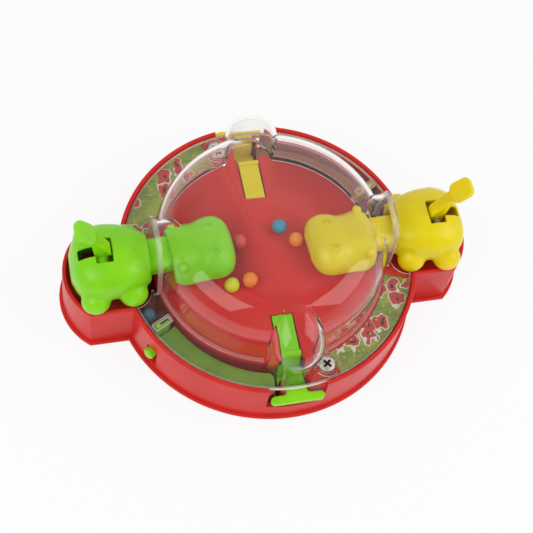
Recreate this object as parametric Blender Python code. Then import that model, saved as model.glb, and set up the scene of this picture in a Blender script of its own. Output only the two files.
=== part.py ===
"""A ball-eating hippo game: a round red base with two ears, a clear domed cover, and two hippos.

The origin is at the middle of the bottom. The yellow hippo stands at +X and the green one at -X, the rear
launcher is at +Y and the front one at -Y. Half a turn about the upright axis maps the game onto itself, so
each side's pieces are drawn once, for the yellow side, and the green side is the same turned by half a turn.
Lengths are in metres and angles in degrees.
"""

import math

import bmesh
import bpy
from mathutils import Matrix, Vector

# Plan of the base
RIM_RADIUS = 0.0700
RIM_WALL = 0.0020
EAR_HALF_WIDTH = 0.0213
EAR_ARC_X = 0.0675
EAR_ARC_RADIUS = 0.0278
WALL_DRAFT = 0.0008
LIP_STEP = 0.0024

# Heights of the base
LIP_THICKNESS = 0.0020
RIM_TOP = 0.0280
DECK_TOP = 0.0242
DECK_THICKNESS = 0.0020

# Gaps between touching pieces, and the overrun of a cut
GAP = 0.0003
RUNNING_GAP = 0.0004
OVERRUN = 0.0010

# Ball channel of one side, from the hippo to the launcher
CHANNEL_INNER = 0.0545
CHANNEL_OUTER = 0.0680
CHANNEL_WALL = 0.0016
CHANNEL_START_DEG = -8.0
CHANNEL_END_DEG = 84.0
TRAY_HIGH = 0.0175
TRAY_LOW = 0.0167
RAMP_LOW = 0.0120
RAMP_THICKNESS = 0.0012
RAMP_FRONT_GAP = 0.0004

# Gate of one side
GATE_DEG = 27.8
GATE_INNER = 0.0575
GATE_OUTER = 0.0650
GATE_THICKNESS = 0.0018
GATE_BOTTOM = 0.0098
GATE_TOP = 0.0237
GATE_TIP_LENGTH = 0.0026
GATE_TIP_TOP = 0.0264
GATE_ARM_INNER = 0.0645
GATE_ARM_OUTER = 0.0674
GATE_ARM_TOP = 0.0144
GATE_ARM_HEIGHT = 0.0028
GATE_TRAVEL = 0.0072
PEG_DEG = 31.2
PEG_RADIUS = 0.00275
PEG_HEIGHT = 0.0146
PEG_START = 0.0682
PEG_END = 0.0724
PEG_CROWN = 0.0008

# Launcher of one side, measured outward from the middle
LAUNCHER_HALF_WIDTH = 0.0047
STRIP_START = 0.0310
STRIP_END = 0.0495
STRIP_THICKNESS = 0.0016
FOLD_END = 0.0522
FOLD_HEIGHT = 0.0013
FOLD_HALF_WIDTH = 0.0050
CUP_START = 0.0558
CUP_END = 0.0628
CUP_FLOOR = 0.0115
CUP_HALF_WIDTH = 0.0060
CUP_LEDGE = 0.0040
HANDLE_NECK_HALF_WIDTH = 0.0050
HANDLE_START = 0.0684
HANDLE_END = 0.0724
HANDLE_TOP = 0.0215
HANDLE_THICKNESS = 0.0023
HANDLE_HALF_WIDTH = 0.0123
PIVOT_OUT = 0.0325
PIVOT_HEIGHT = 0.0206
PIVOT_HUB = 0.0017
STUB_RADIUS = 0.0010
STUB_HALF_LENGTH = 0.0072
LUG_THICKNESS = 0.0020
LUG_HALF_LENGTH = 0.0022
LUG_BOTTOM = 0.0180
NOTCH_HALF_WIDTH = 0.0133
NOTCH_BOTTOM = 0.0113
NOTCH_INNER = 0.0672
NOTCH_SCREEN = 0.0014
WELL_BOTTOM = 0.0060

# Card on the shelf
LABEL_INNER = 0.0553
LABEL_OUTER = 0.0677
LABEL_START_DEG = -72.0
LABEL_END_DEG = -18.3
LABEL_THICKNESS = 0.0004
LABEL_RECESS = 0.0008

# Clear cover
DOME_RADIUS = 0.0533
DOME_DRAFT = 0.0004
DOME_SHOULDER = 0.0180
DOME_TOP = 0.0580
DOME_CROWN = 0.0006
COVER_WALL = 0.0015
FLANGE_RADIUS = 0.0675
FLANGE_BOTTOM = DECK_TOP + GAP
FLANGE_THICKNESS = 0.0015
HOOD_INNER_END = 0.0300
HOOD_FALL_START = 0.0400
HOOD_OUT = 0.0530
HOOD_RADIUS = 0.0125
HOOD_TOP = 0.0570
HOOD_SPRING = 0.0400
ARCH_INNER_END = 0.0310
ARCH_OUTER_END = 0.0546
ARCH_HALF_WIDTH = 0.0134
ARCH_TOP = 0.0566
ARCH_SPRING = 0.0370
VAULT_CORNER_SHARE = 0.77
ARCH_LIP_LENGTH = 0.0016
ARCH_LIP_STEP = 0.0012
FEET_CUT_X = 0.0650
FEET_CUT_Y = 0.0112
FEET_CUT_RADIUS = 0.0082
FEET_CUT_START = 0.0520
NECK_CUT_HALF_WIDTH = 0.0115
POCKET_INNER = 0.0570
POCKET_OUTER = 0.0660
POCKET_HALF_WIDTH = 0.0018
POCKET_TOP = 0.0280
POCKET_WALL = 0.0005
COLLAR_RADIUS = 0.0057
COLLAR_WALL = 0.0012
COLLAR_HEIGHT = 0.0012

# Screws
COVER_SCREW_X = 0.0148
COVER_SCREW_Y = -0.0589
COVER_SCREW_HEAD = 0.00385
COVER_SCREW_HEAD_HEIGHT = 0.0018
COVER_SCREW_SHAFT = 0.0014
COVER_SCREW_TIP = 0.0145
CROSS_HALF_LENGTH = 0.0021
CROSS_HALF_WIDTH = 0.00045
CROSS_DEPTH = 0.0010
SMALL_HEAD = 0.0026
SMALL_HEAD_HEIGHT = 0.0015
SMALL_SHAFT = 0.0011
BOSS_WALL = 0.0018
BOSS_BOTTOM = 0.0110
POST_BOTTOM = 0.0053
POST_SCREW_TIP = 0.0150
POST_NEAR = (0.0300, 0.0300)
POST_FAR = (0.0380, -0.0380)
BODY_SCREW_TIP = 0.0300
BODY_SCREW_FRONT = (0.0650, -0.0142)
BODY_SCREW_REAR = (0.0875, 0.0)
REAR_BOSS_TOP = 0.0350

# Hippo body, from the dome outward
BODY_FRONT = 0.0566
BODY_BACK = 0.0918
BODY_HALF_WIDTH = 0.0172
BODY_BOTTOM = DECK_TOP + GAP
BODY_TOP = 0.0486
BODY_WALL = 0.0016
BODY_FLARE = 2.5
BODY_X_SHARES = (0.0, 0.10, 0.26, 0.46, 0.66, 0.82, 0.93, 1.0)
BODY_WIDTH_SHARES = (0.64, 0.76, 0.91, 1.0, 1.0, 0.90, 0.71, 0.36)
BODY_TOP_SHARES = (0.80, 0.89, 0.97, 1.0, 1.0, 0.94, 0.81, 0.56)
BODY_BOTTOM_SHARES = (0.13, 0.05, 0.0, 0.0, 0.0, 0.0, 0.04, 0.20)
FRONT_FOOT = (0.0652, 0.0142, 0.0309)
REAR_FOOT = (0.0822, 0.0158, 0.0309)
FOOT_LENGTH = 0.0066
FOOT_WIDTH = 0.0062
FOOT_HEIGHT = 0.0063
MOUTH_HALF_WIDTH = 0.0098
MOUTH_BOTTOM = 0.0290
MOUTH_TOP = 0.0406
BELLY_HALF_WIDTH = 0.0108
BELLY_TOP = 0.0279
SLOT_INNER = 0.0729
SLOT_MIDDLE = 0.0803
SLOT_OUTER = 0.0878
SLOT_HALF_WIDTH = 0.0060
STEM_HALF_WIDTH = 0.0025
SLOT_FLOOR = 0.0440

# Tail lever, its pin and its spring, about the lever's axis
LEVER_X = 0.0775
LEVER_Z = 0.0425
LEVER_HUB = 0.0030
LEVER_HUB_NEAR = -0.0020
LEVER_HUB_FAR = 0.0054
LEVER_RIB_HALF = 0.0020
LEVER_PLATE_HALF = 0.0027
LEVER_PLATE = (
    (-0.0041, 0.0046), (-0.0038, 0.0080), (0.0027, 0.0195),
    (0.0046, 0.0184), (-0.0018, 0.0069), (-0.0029, 0.0049),
)
LEVER_RIB = ((-0.0027, 0.0012), (-0.0034, 0.0060), (0.0030, 0.0178), (0.0048, 0.0172), (0.0028, 0.0010))
LEVER_PUSH_LENGTH = 0.0125
LEVER_PUSH_DEG = 12.0
LEVER_PUSH_THICKNESS = 0.0016
LEVER_TIP_RADIUS = 0.0013
PADDLE_X = 0.0067
PADDLE_Z = 0.0229
PADDLE_HALF_WIDTH = 0.0050
PADDLE_HALF_LENGTH = 0.0053
PADDLE_THICKNESS = 0.0024
PADDLE_CORNER = 0.0028
PADDLE_TILT_DEG = 45.0
PIN_RADIUS = 0.0010
PIN_HALF_LENGTH = 0.0092
PIN_LUG_START = 0.0067
PIN_LUG_END = 0.0150
PIN_LUG_HALF = 0.0026
SPRING_RADIUS = 0.0021
SPRING_WIRE = 0.00035
SPRING_START = -0.00275
SPRING_END = -0.00600
SPRING_TURNS = 2.81
SPRING_START_DEG = 152.0
SPRING_POINTS_A_TURN = 9
SPRING_LEVER_LEG = 0.0032
SPRING_ROOF_LEG = 0.0062

# Neck, before it leans
LEAN_X = 0.0720
LEAN_DEG = 3.6
NECK_FRONT = 0.0412
NECK_BACK = 0.0665
NECK_HALF_WIDTH = 0.0080
NECK_BOTTOM = 0.0318
NECK_TOP = 0.0394
NECK_ROUND = 0.0034
TAIL_END = 0.0834
TAIL_HALF_WIDTH = 0.0050
TAIL_BOTTOM = 0.0296
TAIL_TOP = 0.0322
TAIL_SLOT_GAP = 0.0007
TAIL_SLOT_HALF = 0.0032

# Head, before it leans
HEAD_NOSE = 0.0172
HEAD_BACK = 0.0470
HEAD_BOTTOM = 0.0311
HEAD_TOP = 0.0426
HEAD_HALF_WIDTH = 0.0150
HEAD_WALL = 0.0014
HEAD_FLARE = 2.6
HEAD_SKIRT = 0.0009
HEAD_X_SHARES = (0.0, 0.035, 0.11, 0.25, 0.41, 0.56, 0.70, 0.87, 1.0)
HEAD_WIDTH_SHARES = (0.42, 0.68, 0.88, 1.0, 0.96, 0.84, 0.84, 0.95, 0.84)
HEAD_TOP_SHARES = (0.30, 0.55, 0.76, 0.91, 0.94, 0.90, 0.95, 1.0, 0.87)
NOSTRIL_X = 0.0275
NOSTRIL_Y = 0.0065
NOSTRIL_RADIUS = 0.0022
NOSTRIL_HOLE = 0.0012
NOSTRIL_RISE = 0.0009
EAR_X = 0.0430
EAR_Y = 0.0112
EAR_Z = 0.0400
EAR_RADIUS = 0.0024
HEAD_DOOR_GAP = 0.0008
HEAD_PIN_X = 0.0438
HEAD_PIN_Z = 0.0344
HEAD_PIN_HALF = 0.0112
HEAD_LUG_START = NECK_HALF_WIDTH + HEAD_DOOR_GAP / 2
HEAD_LUG_END = 0.0124
HEAD_LUG_HALF = 0.0024

# Loose balls: centres on the deck, and the one in the green tray
BALL_RADIUS = 0.0035
BLUE_BALL = (0.0073, 0.0121)
ORANGE_BALL = (0.0139, 0.0042)
RED_BALL = (-0.0130, 0.0066)
FRONT_ORANGE_BALL = (-0.0116, -0.0135)
YELLOW_BALL = (-0.0203, -0.0149)
TRAY_BALL = (-0.0594, -0.0217)

# Facets of the curves
RIM_STEPS = 60
DOME_STEPS = 52
HOOD_STEPS = 26
HOOD_END_STEPS = 7
ROUND_STEPS = 12
BALL_STEPS = 14
SHOULDER_STEPS = 6
ARCH_STEPS = 9
HEAD_ARCH_STEPS = 8
NOSTRIL_STEPS = 10
SECTION_STEPS = 18
CHANNEL_STEP_DEG = 5.0

# Colours: red, green, yellow and the rest, with roughness, metallic and alpha
COLOURS = {
    "red_plastic": ((0.62, 0.035, 0.03), 0.35, 0.0, 1.0),
    "green_plastic": ((0.22, 0.68, 0.02), 0.30, 0.0, 1.0),
    "yellow_plastic": ((0.80, 0.64, 0.01), 0.30, 0.0, 1.0),
    "clear_plastic": ((0.95, 0.95, 0.93), 0.08, 0.0, 0.35),
    "ramp_plastic": ((0.14, 0.24, 0.05), 0.45, 0.0, 1.0),
    "printed_card": ((0.20, 0.28, 0.08), 0.50, 0.0, 1.0),
    "screw_steel": ((0.45, 0.44, 0.41), 0.35, 1.0, 1.0),
    "blue_ball": ((0.07, 0.33, 0.52), 0.35, 0.0, 1.0),
    "orange_ball": ((0.90, 0.25, 0.03), 0.35, 0.0, 1.0),
    "red_ball": ((0.70, 0.06, 0.05), 0.35, 0.0, 1.0),
    "yellow_ball": ((0.72, 0.72, 0.04), 0.35, 0.0, 1.0),
}


def clear_scene():
    for obj in list(bpy.data.objects):
        bpy.data.objects.remove(obj)


def material(name):
    """The named colour as a Principled material, made once."""
    if name in bpy.data.materials:
        return bpy.data.materials[name]
    colour, roughness, metallic, alpha = COLOURS[name]
    made = bpy.data.materials.new(name)
    made.use_nodes = True
    shader = made.node_tree.nodes["Principled BSDF"]
    shader.inputs["Base Color"].default_value = (*colour, 1.0)
    shader.inputs["Roughness"].default_value = roughness
    shader.inputs["Metallic"].default_value = metallic
    shader.inputs["Alpha"].default_value = alpha
    return made


def polar(radius, degrees):
    angle = math.radians(degrees)
    return radius * math.cos(angle), radius * math.sin(angle)


def link(name, bm):
    """A new object from this bmesh, which is used up."""
    bmesh.ops.recalc_face_normals(bm, faces=bm.faces)
    mesh = bpy.data.meshes.new(name)
    bm.to_mesh(mesh)
    bm.free()
    obj = bpy.data.objects.new(name, mesh)
    bpy.context.scene.collection.objects.link(obj)
    return obj


def loft(rings, name="shape"):
    """A closed solid through rings of equally many points, with flat ends."""
    bm = bmesh.new()
    rows = [[bm.verts.new(point) for point in ring] for ring in rings]
    count = len(rows[0])
    for near, far in zip(rows, rows[1:]):
        for k in range(count):
            following = (k + 1) % count
            bm.faces.new((near[k], near[following], far[following], far[k]))
    bm.faces.new(reversed(rows[0]))
    bm.faces.new(rows[-1])
    return link(name, bm)


def prism(outline, bottom, top, name="shape"):
    """The (x, y) outline raised from bottom to top."""
    return loft([[(x, y, z) for x, y in outline] for z in (bottom, top)], name)


def box(x_range, y_range, z_range):
    (x0, x1), (y0, y1), (z0, z1) = x_range, y_range, z_range
    return prism([(x0, y0), (x1, y0), (x1, y1), (x0, y1)], z0, z1)


def circle(radius, x=0.0, y=0.0, steps=ROUND_STEPS):
    turns = [2 * math.pi * k / steps for k in range(steps)]
    return [(x + radius * math.cos(turn), y + radius * math.sin(turn)) for turn in turns]


def turned(profile, x=0.0, y=0.0, steps=ROUND_STEPS):
    """A solid of revolution about the upright line at (x, y), from (radius, z) points."""
    bm = bmesh.new()
    rings = []
    for radius, z in profile:
        if radius == 0:
            rings.append([bm.verts.new((x, y, z))])
        else:
            rings.append([bm.verts.new((px, py, z)) for px, py in circle(radius, x, y, steps)])
    for near, far in zip(rings, rings[1:]):
        for k in range(steps):
            following = k + 1
            corners = [near[k % len(near)], near[following % len(near)]]
            corners += [far[following % len(far)], far[k % len(far)]]
            bm.faces.new(dict.fromkeys(corners))
    for end in (rings[0], rings[-1]):
        if len(end) > 1:
            bm.faces.new(end)
    return link("shape", bm)


def rod(radius, start, end, steps=ROUND_STEPS):
    """A straight round bar between two points."""
    start, end = Vector(start), Vector(end)
    shape = turned([(radius, 0.0), (radius, (end - start).length)], steps=steps)
    turn = Vector((0.0, 0.0, 1.0)).rotation_difference(end - start).to_matrix().to_4x4()
    shape.data.transform(Matrix.Translation(start) @ turn)
    return shape


def side_plate(outline, near, far):
    """An outline of (x, z) points, made thick along Y."""
    return loft([[(x, y, z) for x, z in outline] for y in (near, far)])


def ellipsoid(centre, radii, steps=ROUND_STEPS):
    bm = bmesh.new()
    bmesh.ops.create_uvsphere(bm, u_segments=steps, v_segments=steps * 5 // 8, radius=1.0)
    shape = link("shape", bm)
    shape.data.transform(Matrix.Translation(centre) @ Matrix.Diagonal((*radii, 1.0)))
    return shape


def combine(target, tool, operation):
    """Cuts the tool from the target or joins it on, and uses the tool up."""
    modifier = target.modifiers.new(operation, "BOOLEAN")
    modifier.operation = operation
    modifier.solver = "EXACT"
    modifier.object = tool
    graph = bpy.context.evaluated_depsgraph_get()
    mesh = bpy.data.meshes.new_from_object(target.evaluated_get(graph))
    target.modifiers.remove(modifier)
    target.data = mesh
    bpy.data.objects.remove(tool)
    return target


def cut(target, tool):
    return combine(target, tool, "DIFFERENCE")


def join(target, tool):
    return combine(target, tool, "UNION")


def turn_about_z(shape, degrees):
    shape.data.transform(Matrix.Rotation(math.radians(degrees), 4, "Z"))
    return shape


def both_sides(target, action, make):
    """Cuts or joins what make() gives, and again turned by half a turn."""
    for degrees in (0.0, 180.0):
        action(target, turn_about_z(make(), degrees))


def plan_outline(offset):
    """The base seen from above, grown outward by the offset."""
    radius, half = RIM_RADIUS + offset, EAR_HALF_WIDTH + offset
    ear_radius = EAR_ARC_RADIUS + offset
    circle_start = math.degrees(math.asin(half / radius))
    ear_end = math.degrees(math.asin(half / ear_radius))
    ear_steps = RIM_STEPS // 6
    arc_steps = RIM_STEPS // 3
    points = []
    for k in range(ear_steps + 1):
        x, y = polar(ear_radius, -ear_end + 2 * ear_end * k / ear_steps)
        points.append((EAR_ARC_X + x, y))
    for k in range(arc_steps + 1):
        points.append(polar(radius, circle_start + (180.0 - 2 * circle_start) * k / arc_steps))
    return points + [(-x, -y) for x, y in points]


def sector(inner, outer, start_deg, end_deg, bottom, top):
    """A curved block; bottom and top are heights or functions of the angle."""
    low = bottom if callable(bottom) else lambda degrees: bottom
    high = top if callable(top) else lambda degrees: top
    steps = max(1, round((end_deg - start_deg) / CHANNEL_STEP_DEG))
    rings = []
    for k in range(steps + 1):
        degrees = start_deg + (end_deg - start_deg) * k / steps
        near, far = polar(inner, degrees), polar(outer, degrees)
        under, over = low(degrees), high(degrees)
        rings.append([(*near, under), (*far, under), (*far, over), (*near, over)])
    return loft(rings)


def channel_floor(degrees):
    """Height of the surface that the balls roll on."""
    if degrees < GATE_DEG:
        share = (degrees - CHANNEL_START_DEG) / (GATE_DEG - CHANNEL_START_DEG)
        return TRAY_HIGH + (TRAY_LOW - TRAY_HIGH) * share
    share = (degrees - GATE_DEG) / (CHANNEL_END_DEG - GATE_DEG)
    return TRAY_LOW + (RAMP_LOW - TRAY_LOW) * share


def ramp_seat(degrees):
    return channel_floor(degrees) - RAMP_THICKNESS - GAP


def trough_bottom(degrees):
    return ramp_seat(degrees) - CHANNEL_WALL


def gate_frame():
    """Turns a shape drawn along +X into the gate's direction."""
    return Matrix.Rotation(math.radians(GATE_DEG), 4, "Z")


def degrees_of(length, radius):
    return math.degrees(length / radius)


def boss(place, bottom, hole):
    """A screw post under the deck."""
    return turned([(hole + BOSS_WALL, bottom), (hole + BOSS_WALL, DECK_TOP - DECK_THICKNESS / 2)], *place)


def hole_tool(place, radius, bottom, top):
    return turned([(radius, bottom), (radius, top)], *place)


def make_base():
    foot = LIP_THICKNESS + GAP
    rings = [
        [(x, y, foot) for x, y in plan_outline(WALL_DRAFT)],
        [(x, y, RIM_TOP) for x, y in plan_outline(0.0)],
    ]
    base = loft(rings, "base_shell")
    cut(base, prism(plan_outline(-RIM_WALL), DECK_TOP, RIM_TOP + OVERRUN))

    # Hollow under the deck, less what stands in it
    hollow = prism(plan_outline(-RIM_WALL), foot - OVERRUN, DECK_TOP - DECK_THICKNESS)
    trough_rim = CHANNEL_OUTER + CHANNEL_WALL
    well_side = CUP_HALF_WIDTH + RUNNING_GAP + CHANNEL_WALL
    well_start = CHANNEL_INNER - CHANNEL_WALL
    start = CHANNEL_START_DEG - degrees_of(CHANNEL_WALL, CHANNEL_INNER)
    lug_near = LAUNCHER_HALF_WIDTH + 2 * RUNNING_GAP
    small_hole = SMALL_SHAFT + GAP
    cover_hole = COVER_SCREW_SHAFT + GAP

    def trough():
        return sector(well_start, trough_rim, start, CHANNEL_END_DEG, trough_bottom, DECK_TOP - OVERRUN)

    def well_block():
        return box((-well_side, well_side), (well_start, trough_rim), (WELL_BOTTOM, DECK_TOP - OVERRUN))

    def notch_block():
        half = NOTCH_HALF_WIDTH + CHANNEL_WALL
        inner = NOTCH_INNER - NOTCH_SCREEN
        return box((-half, half), (inner, trough_rim), (WELL_BOTTOM, DECK_TOP - OVERRUN))

    def lug(sign):
        near, far = sorted((sign * lug_near, sign * (lug_near + LUG_THICKNESS)))
        lengthwise = (PIVOT_OUT - LUG_HALF_LENGTH, PIVOT_OUT + LUG_HALF_LENGTH)
        return box((near, far), lengthwise, (LUG_BOTTOM, DECK_TOP - OVERRUN))

    cover_screw = (COVER_SCREW_X, COVER_SCREW_Y)
    both_sides(hollow, cut, trough)
    both_sides(hollow, cut, well_block)
    both_sides(hollow, cut, notch_block)
    both_sides(hollow, cut, lambda: lug(-1))
    both_sides(hollow, cut, lambda: lug(1))
    both_sides(hollow, cut, lambda: boss(cover_screw, BOSS_BOTTOM, cover_hole))
    both_sides(hollow, cut, lambda: boss(POST_NEAR, POST_BOTTOM, small_hole))
    both_sides(hollow, cut, lambda: boss(POST_FAR, POST_BOTTOM, small_hole))
    cut(base, hollow)

    # Channel, launcher well, notch, gate slots and screw holes
    above = DECK_TOP + OVERRUN
    tray_end = GATE_DEG - degrees_of(GATE_THICKNESS / 2 + RUNNING_GAP, CHANNEL_INNER)
    ramp_start = GATE_DEG + degrees_of(GATE_THICKNESS / 2 + RUNNING_GAP, CHANNEL_INNER)

    def tray():
        return sector(CHANNEL_INNER, CHANNEL_OUTER, CHANNEL_START_DEG, tray_end, channel_floor, above)

    def ramp_bay():
        ahead = tray_end - degrees_of(GAP, CHANNEL_INNER)
        return sector(CHANNEL_INNER, CHANNEL_OUTER, ahead, CHANNEL_END_DEG, ramp_seat, above)

    def well():
        half = CUP_HALF_WIDTH + RUNNING_GAP
        lengthwise = (CHANNEL_INNER - OVERRUN, NOTCH_INNER - NOTCH_SCREEN)
        return box((-half, half), lengthwise, (foot - OVERRUN, above))

    def screen_gap():
        half = HANDLE_NECK_HALF_WIDTH + RUNNING_GAP
        inner = NOTCH_INNER - NOTCH_SCREEN - OVERRUN
        return box((-half, half), (inner, NOTCH_INNER + OVERRUN), (WELL_BOTTOM - OVERRUN, above))

    def notch():
        near, far, top = NOTCH_INNER - NOTCH_SCREEN, RIM_RADIUS + LIP_STEP, RIM_TOP + OVERRUN
        outline = [(near, DECK_TOP), (NOTCH_INNER, DECK_TOP), (NOTCH_INNER, NOTCH_BOTTOM)]
        outline += [(far, NOTCH_BOTTOM), (far, top), (near, top)]
        return loft([[(x, y, z) for y, z in outline] for x in (-NOTCH_HALF_WIDTH, NOTCH_HALF_WIDTH)])

    def strip_slot():
        half = FOLD_HALF_WIDTH + RUNNING_GAP
        under = DECK_TOP - DECK_THICKNESS - OVERRUN
        return box((-half, half), (STRIP_START - RUNNING_GAP, CHANNEL_INNER), (under, above))

    def wall_slot():
        inner = CHANNEL_INNER - CHANNEL_WALL - OVERRUN
        half = CUP_HALF_WIDTH + RUNNING_GAP
        return box((-half, half), (inner, CHANNEL_INNER), (WELL_BOTTOM - OVERRUN, DECK_TOP - DECK_THICKNESS))

    def axle_hole():
        half = lug_near + LUG_THICKNESS + OVERRUN
        place = (PIVOT_OUT, PIVOT_HEIGHT)
        return rod(STUB_RADIUS + RUNNING_GAP, (-half, *place), (half, *place))

    def blade_slot():
        half = GATE_THICKNESS / 2 + RUNNING_GAP
        reach = (GATE_INNER - RUNNING_GAP, CHANNEL_OUTER)
        shape = box(reach, (-half, half), (WELL_BOTTOM - OVERRUN, above))
        shape.data.transform(gate_frame())
        return shape

    def arm_bay():
        side = degrees_of(PEG_RADIUS + RUNNING_GAP, CHANNEL_OUTER)
        inner = GATE_ARM_INNER - RUNNING_GAP
        end = PEG_DEG + side
        return sector(inner, CHANNEL_OUTER, GATE_DEG, end, foot - OVERRUN, above)

    def peg_slot():
        half = PEG_RADIUS + RUNNING_GAP
        low = PEG_HEIGHT - GATE_TRAVEL - half
        shape = box((CHANNEL_OUTER - OVERRUN, RIM_RADIUS + LIP_STEP), (-half, half), (low, PEG_HEIGHT + half))
        return turn_about_z(shape, PEG_DEG)

    def label_recess():
        floor = DECK_TOP - LABEL_RECESS
        return sector(LABEL_INNER, LABEL_OUTER, LABEL_START_DEG, LABEL_END_DEG, floor, above)

    for tool in (tray, ramp_bay, well, screen_gap, notch, strip_slot, wall_slot, axle_hole):
        both_sides(base, cut, tool)
    for tool in (blade_slot, arm_bay, peg_slot, label_recess):
        both_sides(base, cut, tool)
    both_sides(base, cut, lambda: hole_tool(cover_screw, cover_hole, BOSS_BOTTOM - OVERRUN, above))
    post_hole = (POST_BOTTOM - OVERRUN, POST_SCREW_TIP + GAP)
    for place in (POST_NEAR, POST_FAR):
        both_sides(base, cut, lambda at=place: hole_tool(at, small_hole, *post_hole))
    deck_hole = (DECK_TOP - DECK_THICKNESS - OVERRUN, above)
    for place in (BODY_SCREW_FRONT, BODY_SCREW_REAR):
        both_sides(base, cut, lambda at=place: hole_tool(at, small_hole, *deck_hole))
    return finish(base, "red_plastic")


def post_places():
    near, far = POST_NEAR, POST_FAR
    return (near, far, (-near[0], -near[1]), (-far[0], -far[1]))


def make_bottom_cover():
    cover = prism(plan_outline(LIP_STEP), 0.0, LIP_THICKNESS, "bottom_cover")
    ring_top = POST_BOTTOM - GAP
    head_room = SMALL_HEAD + GAP
    seat = ring_top - BOSS_WALL
    for place in post_places():
        join(cover, hole_tool(place, head_room + BOSS_WALL / 2, LIP_THICKNESS / 2, ring_top))
        cut(cover, hole_tool(place, head_room, -OVERRUN, seat))
        cut(cover, hole_tool(place, SMALL_SHAFT + GAP, seat - OVERRUN, ring_top + OVERRUN))
    return finish(cover, "red_plastic")


def screw(name, place, seat, head, head_height, shaft, tip, upward):
    """A pan head on its seat and a pointed shaft; upward screws have their head below."""
    sign = 1 if upward else -1
    end = seat - sign * head_height
    crown = head * 0.7
    profile = [(0.0, end), (crown, end), (head, end + sign * head_height * 0.45), (head, seat)]
    profile += [(shaft, seat), (shaft, tip - sign * shaft), (0.0, tip)]
    made = turned(profile, *place)
    made.name = made.data.name = name
    share = head / COVER_SCREW_HEAD
    bar = (CROSS_HALF_LENGTH * share, CROSS_HALF_WIDTH * share)
    for x, y in (bar, bar[::-1]):
        depth = sorted((end - sign * OVERRUN, end + sign * CROSS_DEPTH * share))
        cut(made, box((place[0] - x, place[0] + x), (place[1] - y, place[1] + y), depth))
    return finish(made, "screw_steel")


def dome_profile(radius, top, shoulder, bottom):
    """(radius, z) points up the wall, round the shoulder and over the flat crown to the axis."""
    points = [(radius + DOME_DRAFT, bottom)]
    for k in range(SHOULDER_STEPS + 1):
        x, z = polar(shoulder, 90.0 * k / SHOULDER_STEPS)
        points.append((radius - shoulder + x, top - shoulder + z))
    points.append((0.0, top + DOME_CROWN))
    return [(0.0, bottom)] + points


def vault_ring(out, half, spring, top, bottom):
    """An upside-down U across the way out, straight up to the spring height and vaulted above."""
    points = [(out, half, bottom)]
    for k in range(ARCH_STEPS + 1):
        side, rise = polar(1.0, 180.0 * k / ARCH_STEPS)
        side = math.copysign(abs(side) ** VAULT_CORNER_SHARE, side)
        points.append((out, half * side, spring + (top - spring) * max(rise, 0.0) ** VAULT_CORNER_SHARE))
    points.append((out, -half, bottom))
    return points


def tunnel(start, end, half, top, bottom):
    return loft([vault_ring(out, half, ARCH_SPRING, top, bottom) for out in (start, end)])


def hood(wall, bottom):
    """The half-open vault over a launcher: it runs out from under the crown, falls and closes in a round."""
    radius, top = HOOD_RADIUS - wall, HOOD_TOP - wall
    fall = HOOD_OUT + radius - HOOD_FALL_START

    def ring(out, half):
        share = max(out - HOOD_FALL_START, 0.0) / fall
        height = (top - HOOD_SPRING) * math.sqrt(1.0 - share * share)
        return vault_ring(out, half, HOOD_SPRING, HOOD_SPRING + height, bottom)

    rings = [ring(out, radius) for out in (HOOD_INNER_END, HOOD_FALL_START)]
    rings.append(ring((HOOD_FALL_START + HOOD_OUT) / 2, radius))
    for k in range(HOOD_END_STEPS):
        half, out = polar(radius, 90.0 * k / HOOD_END_STEPS)
        rings.append(ring(HOOD_OUT + out, half))
    return turn_about_z(loft(rings), 90.0)


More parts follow.
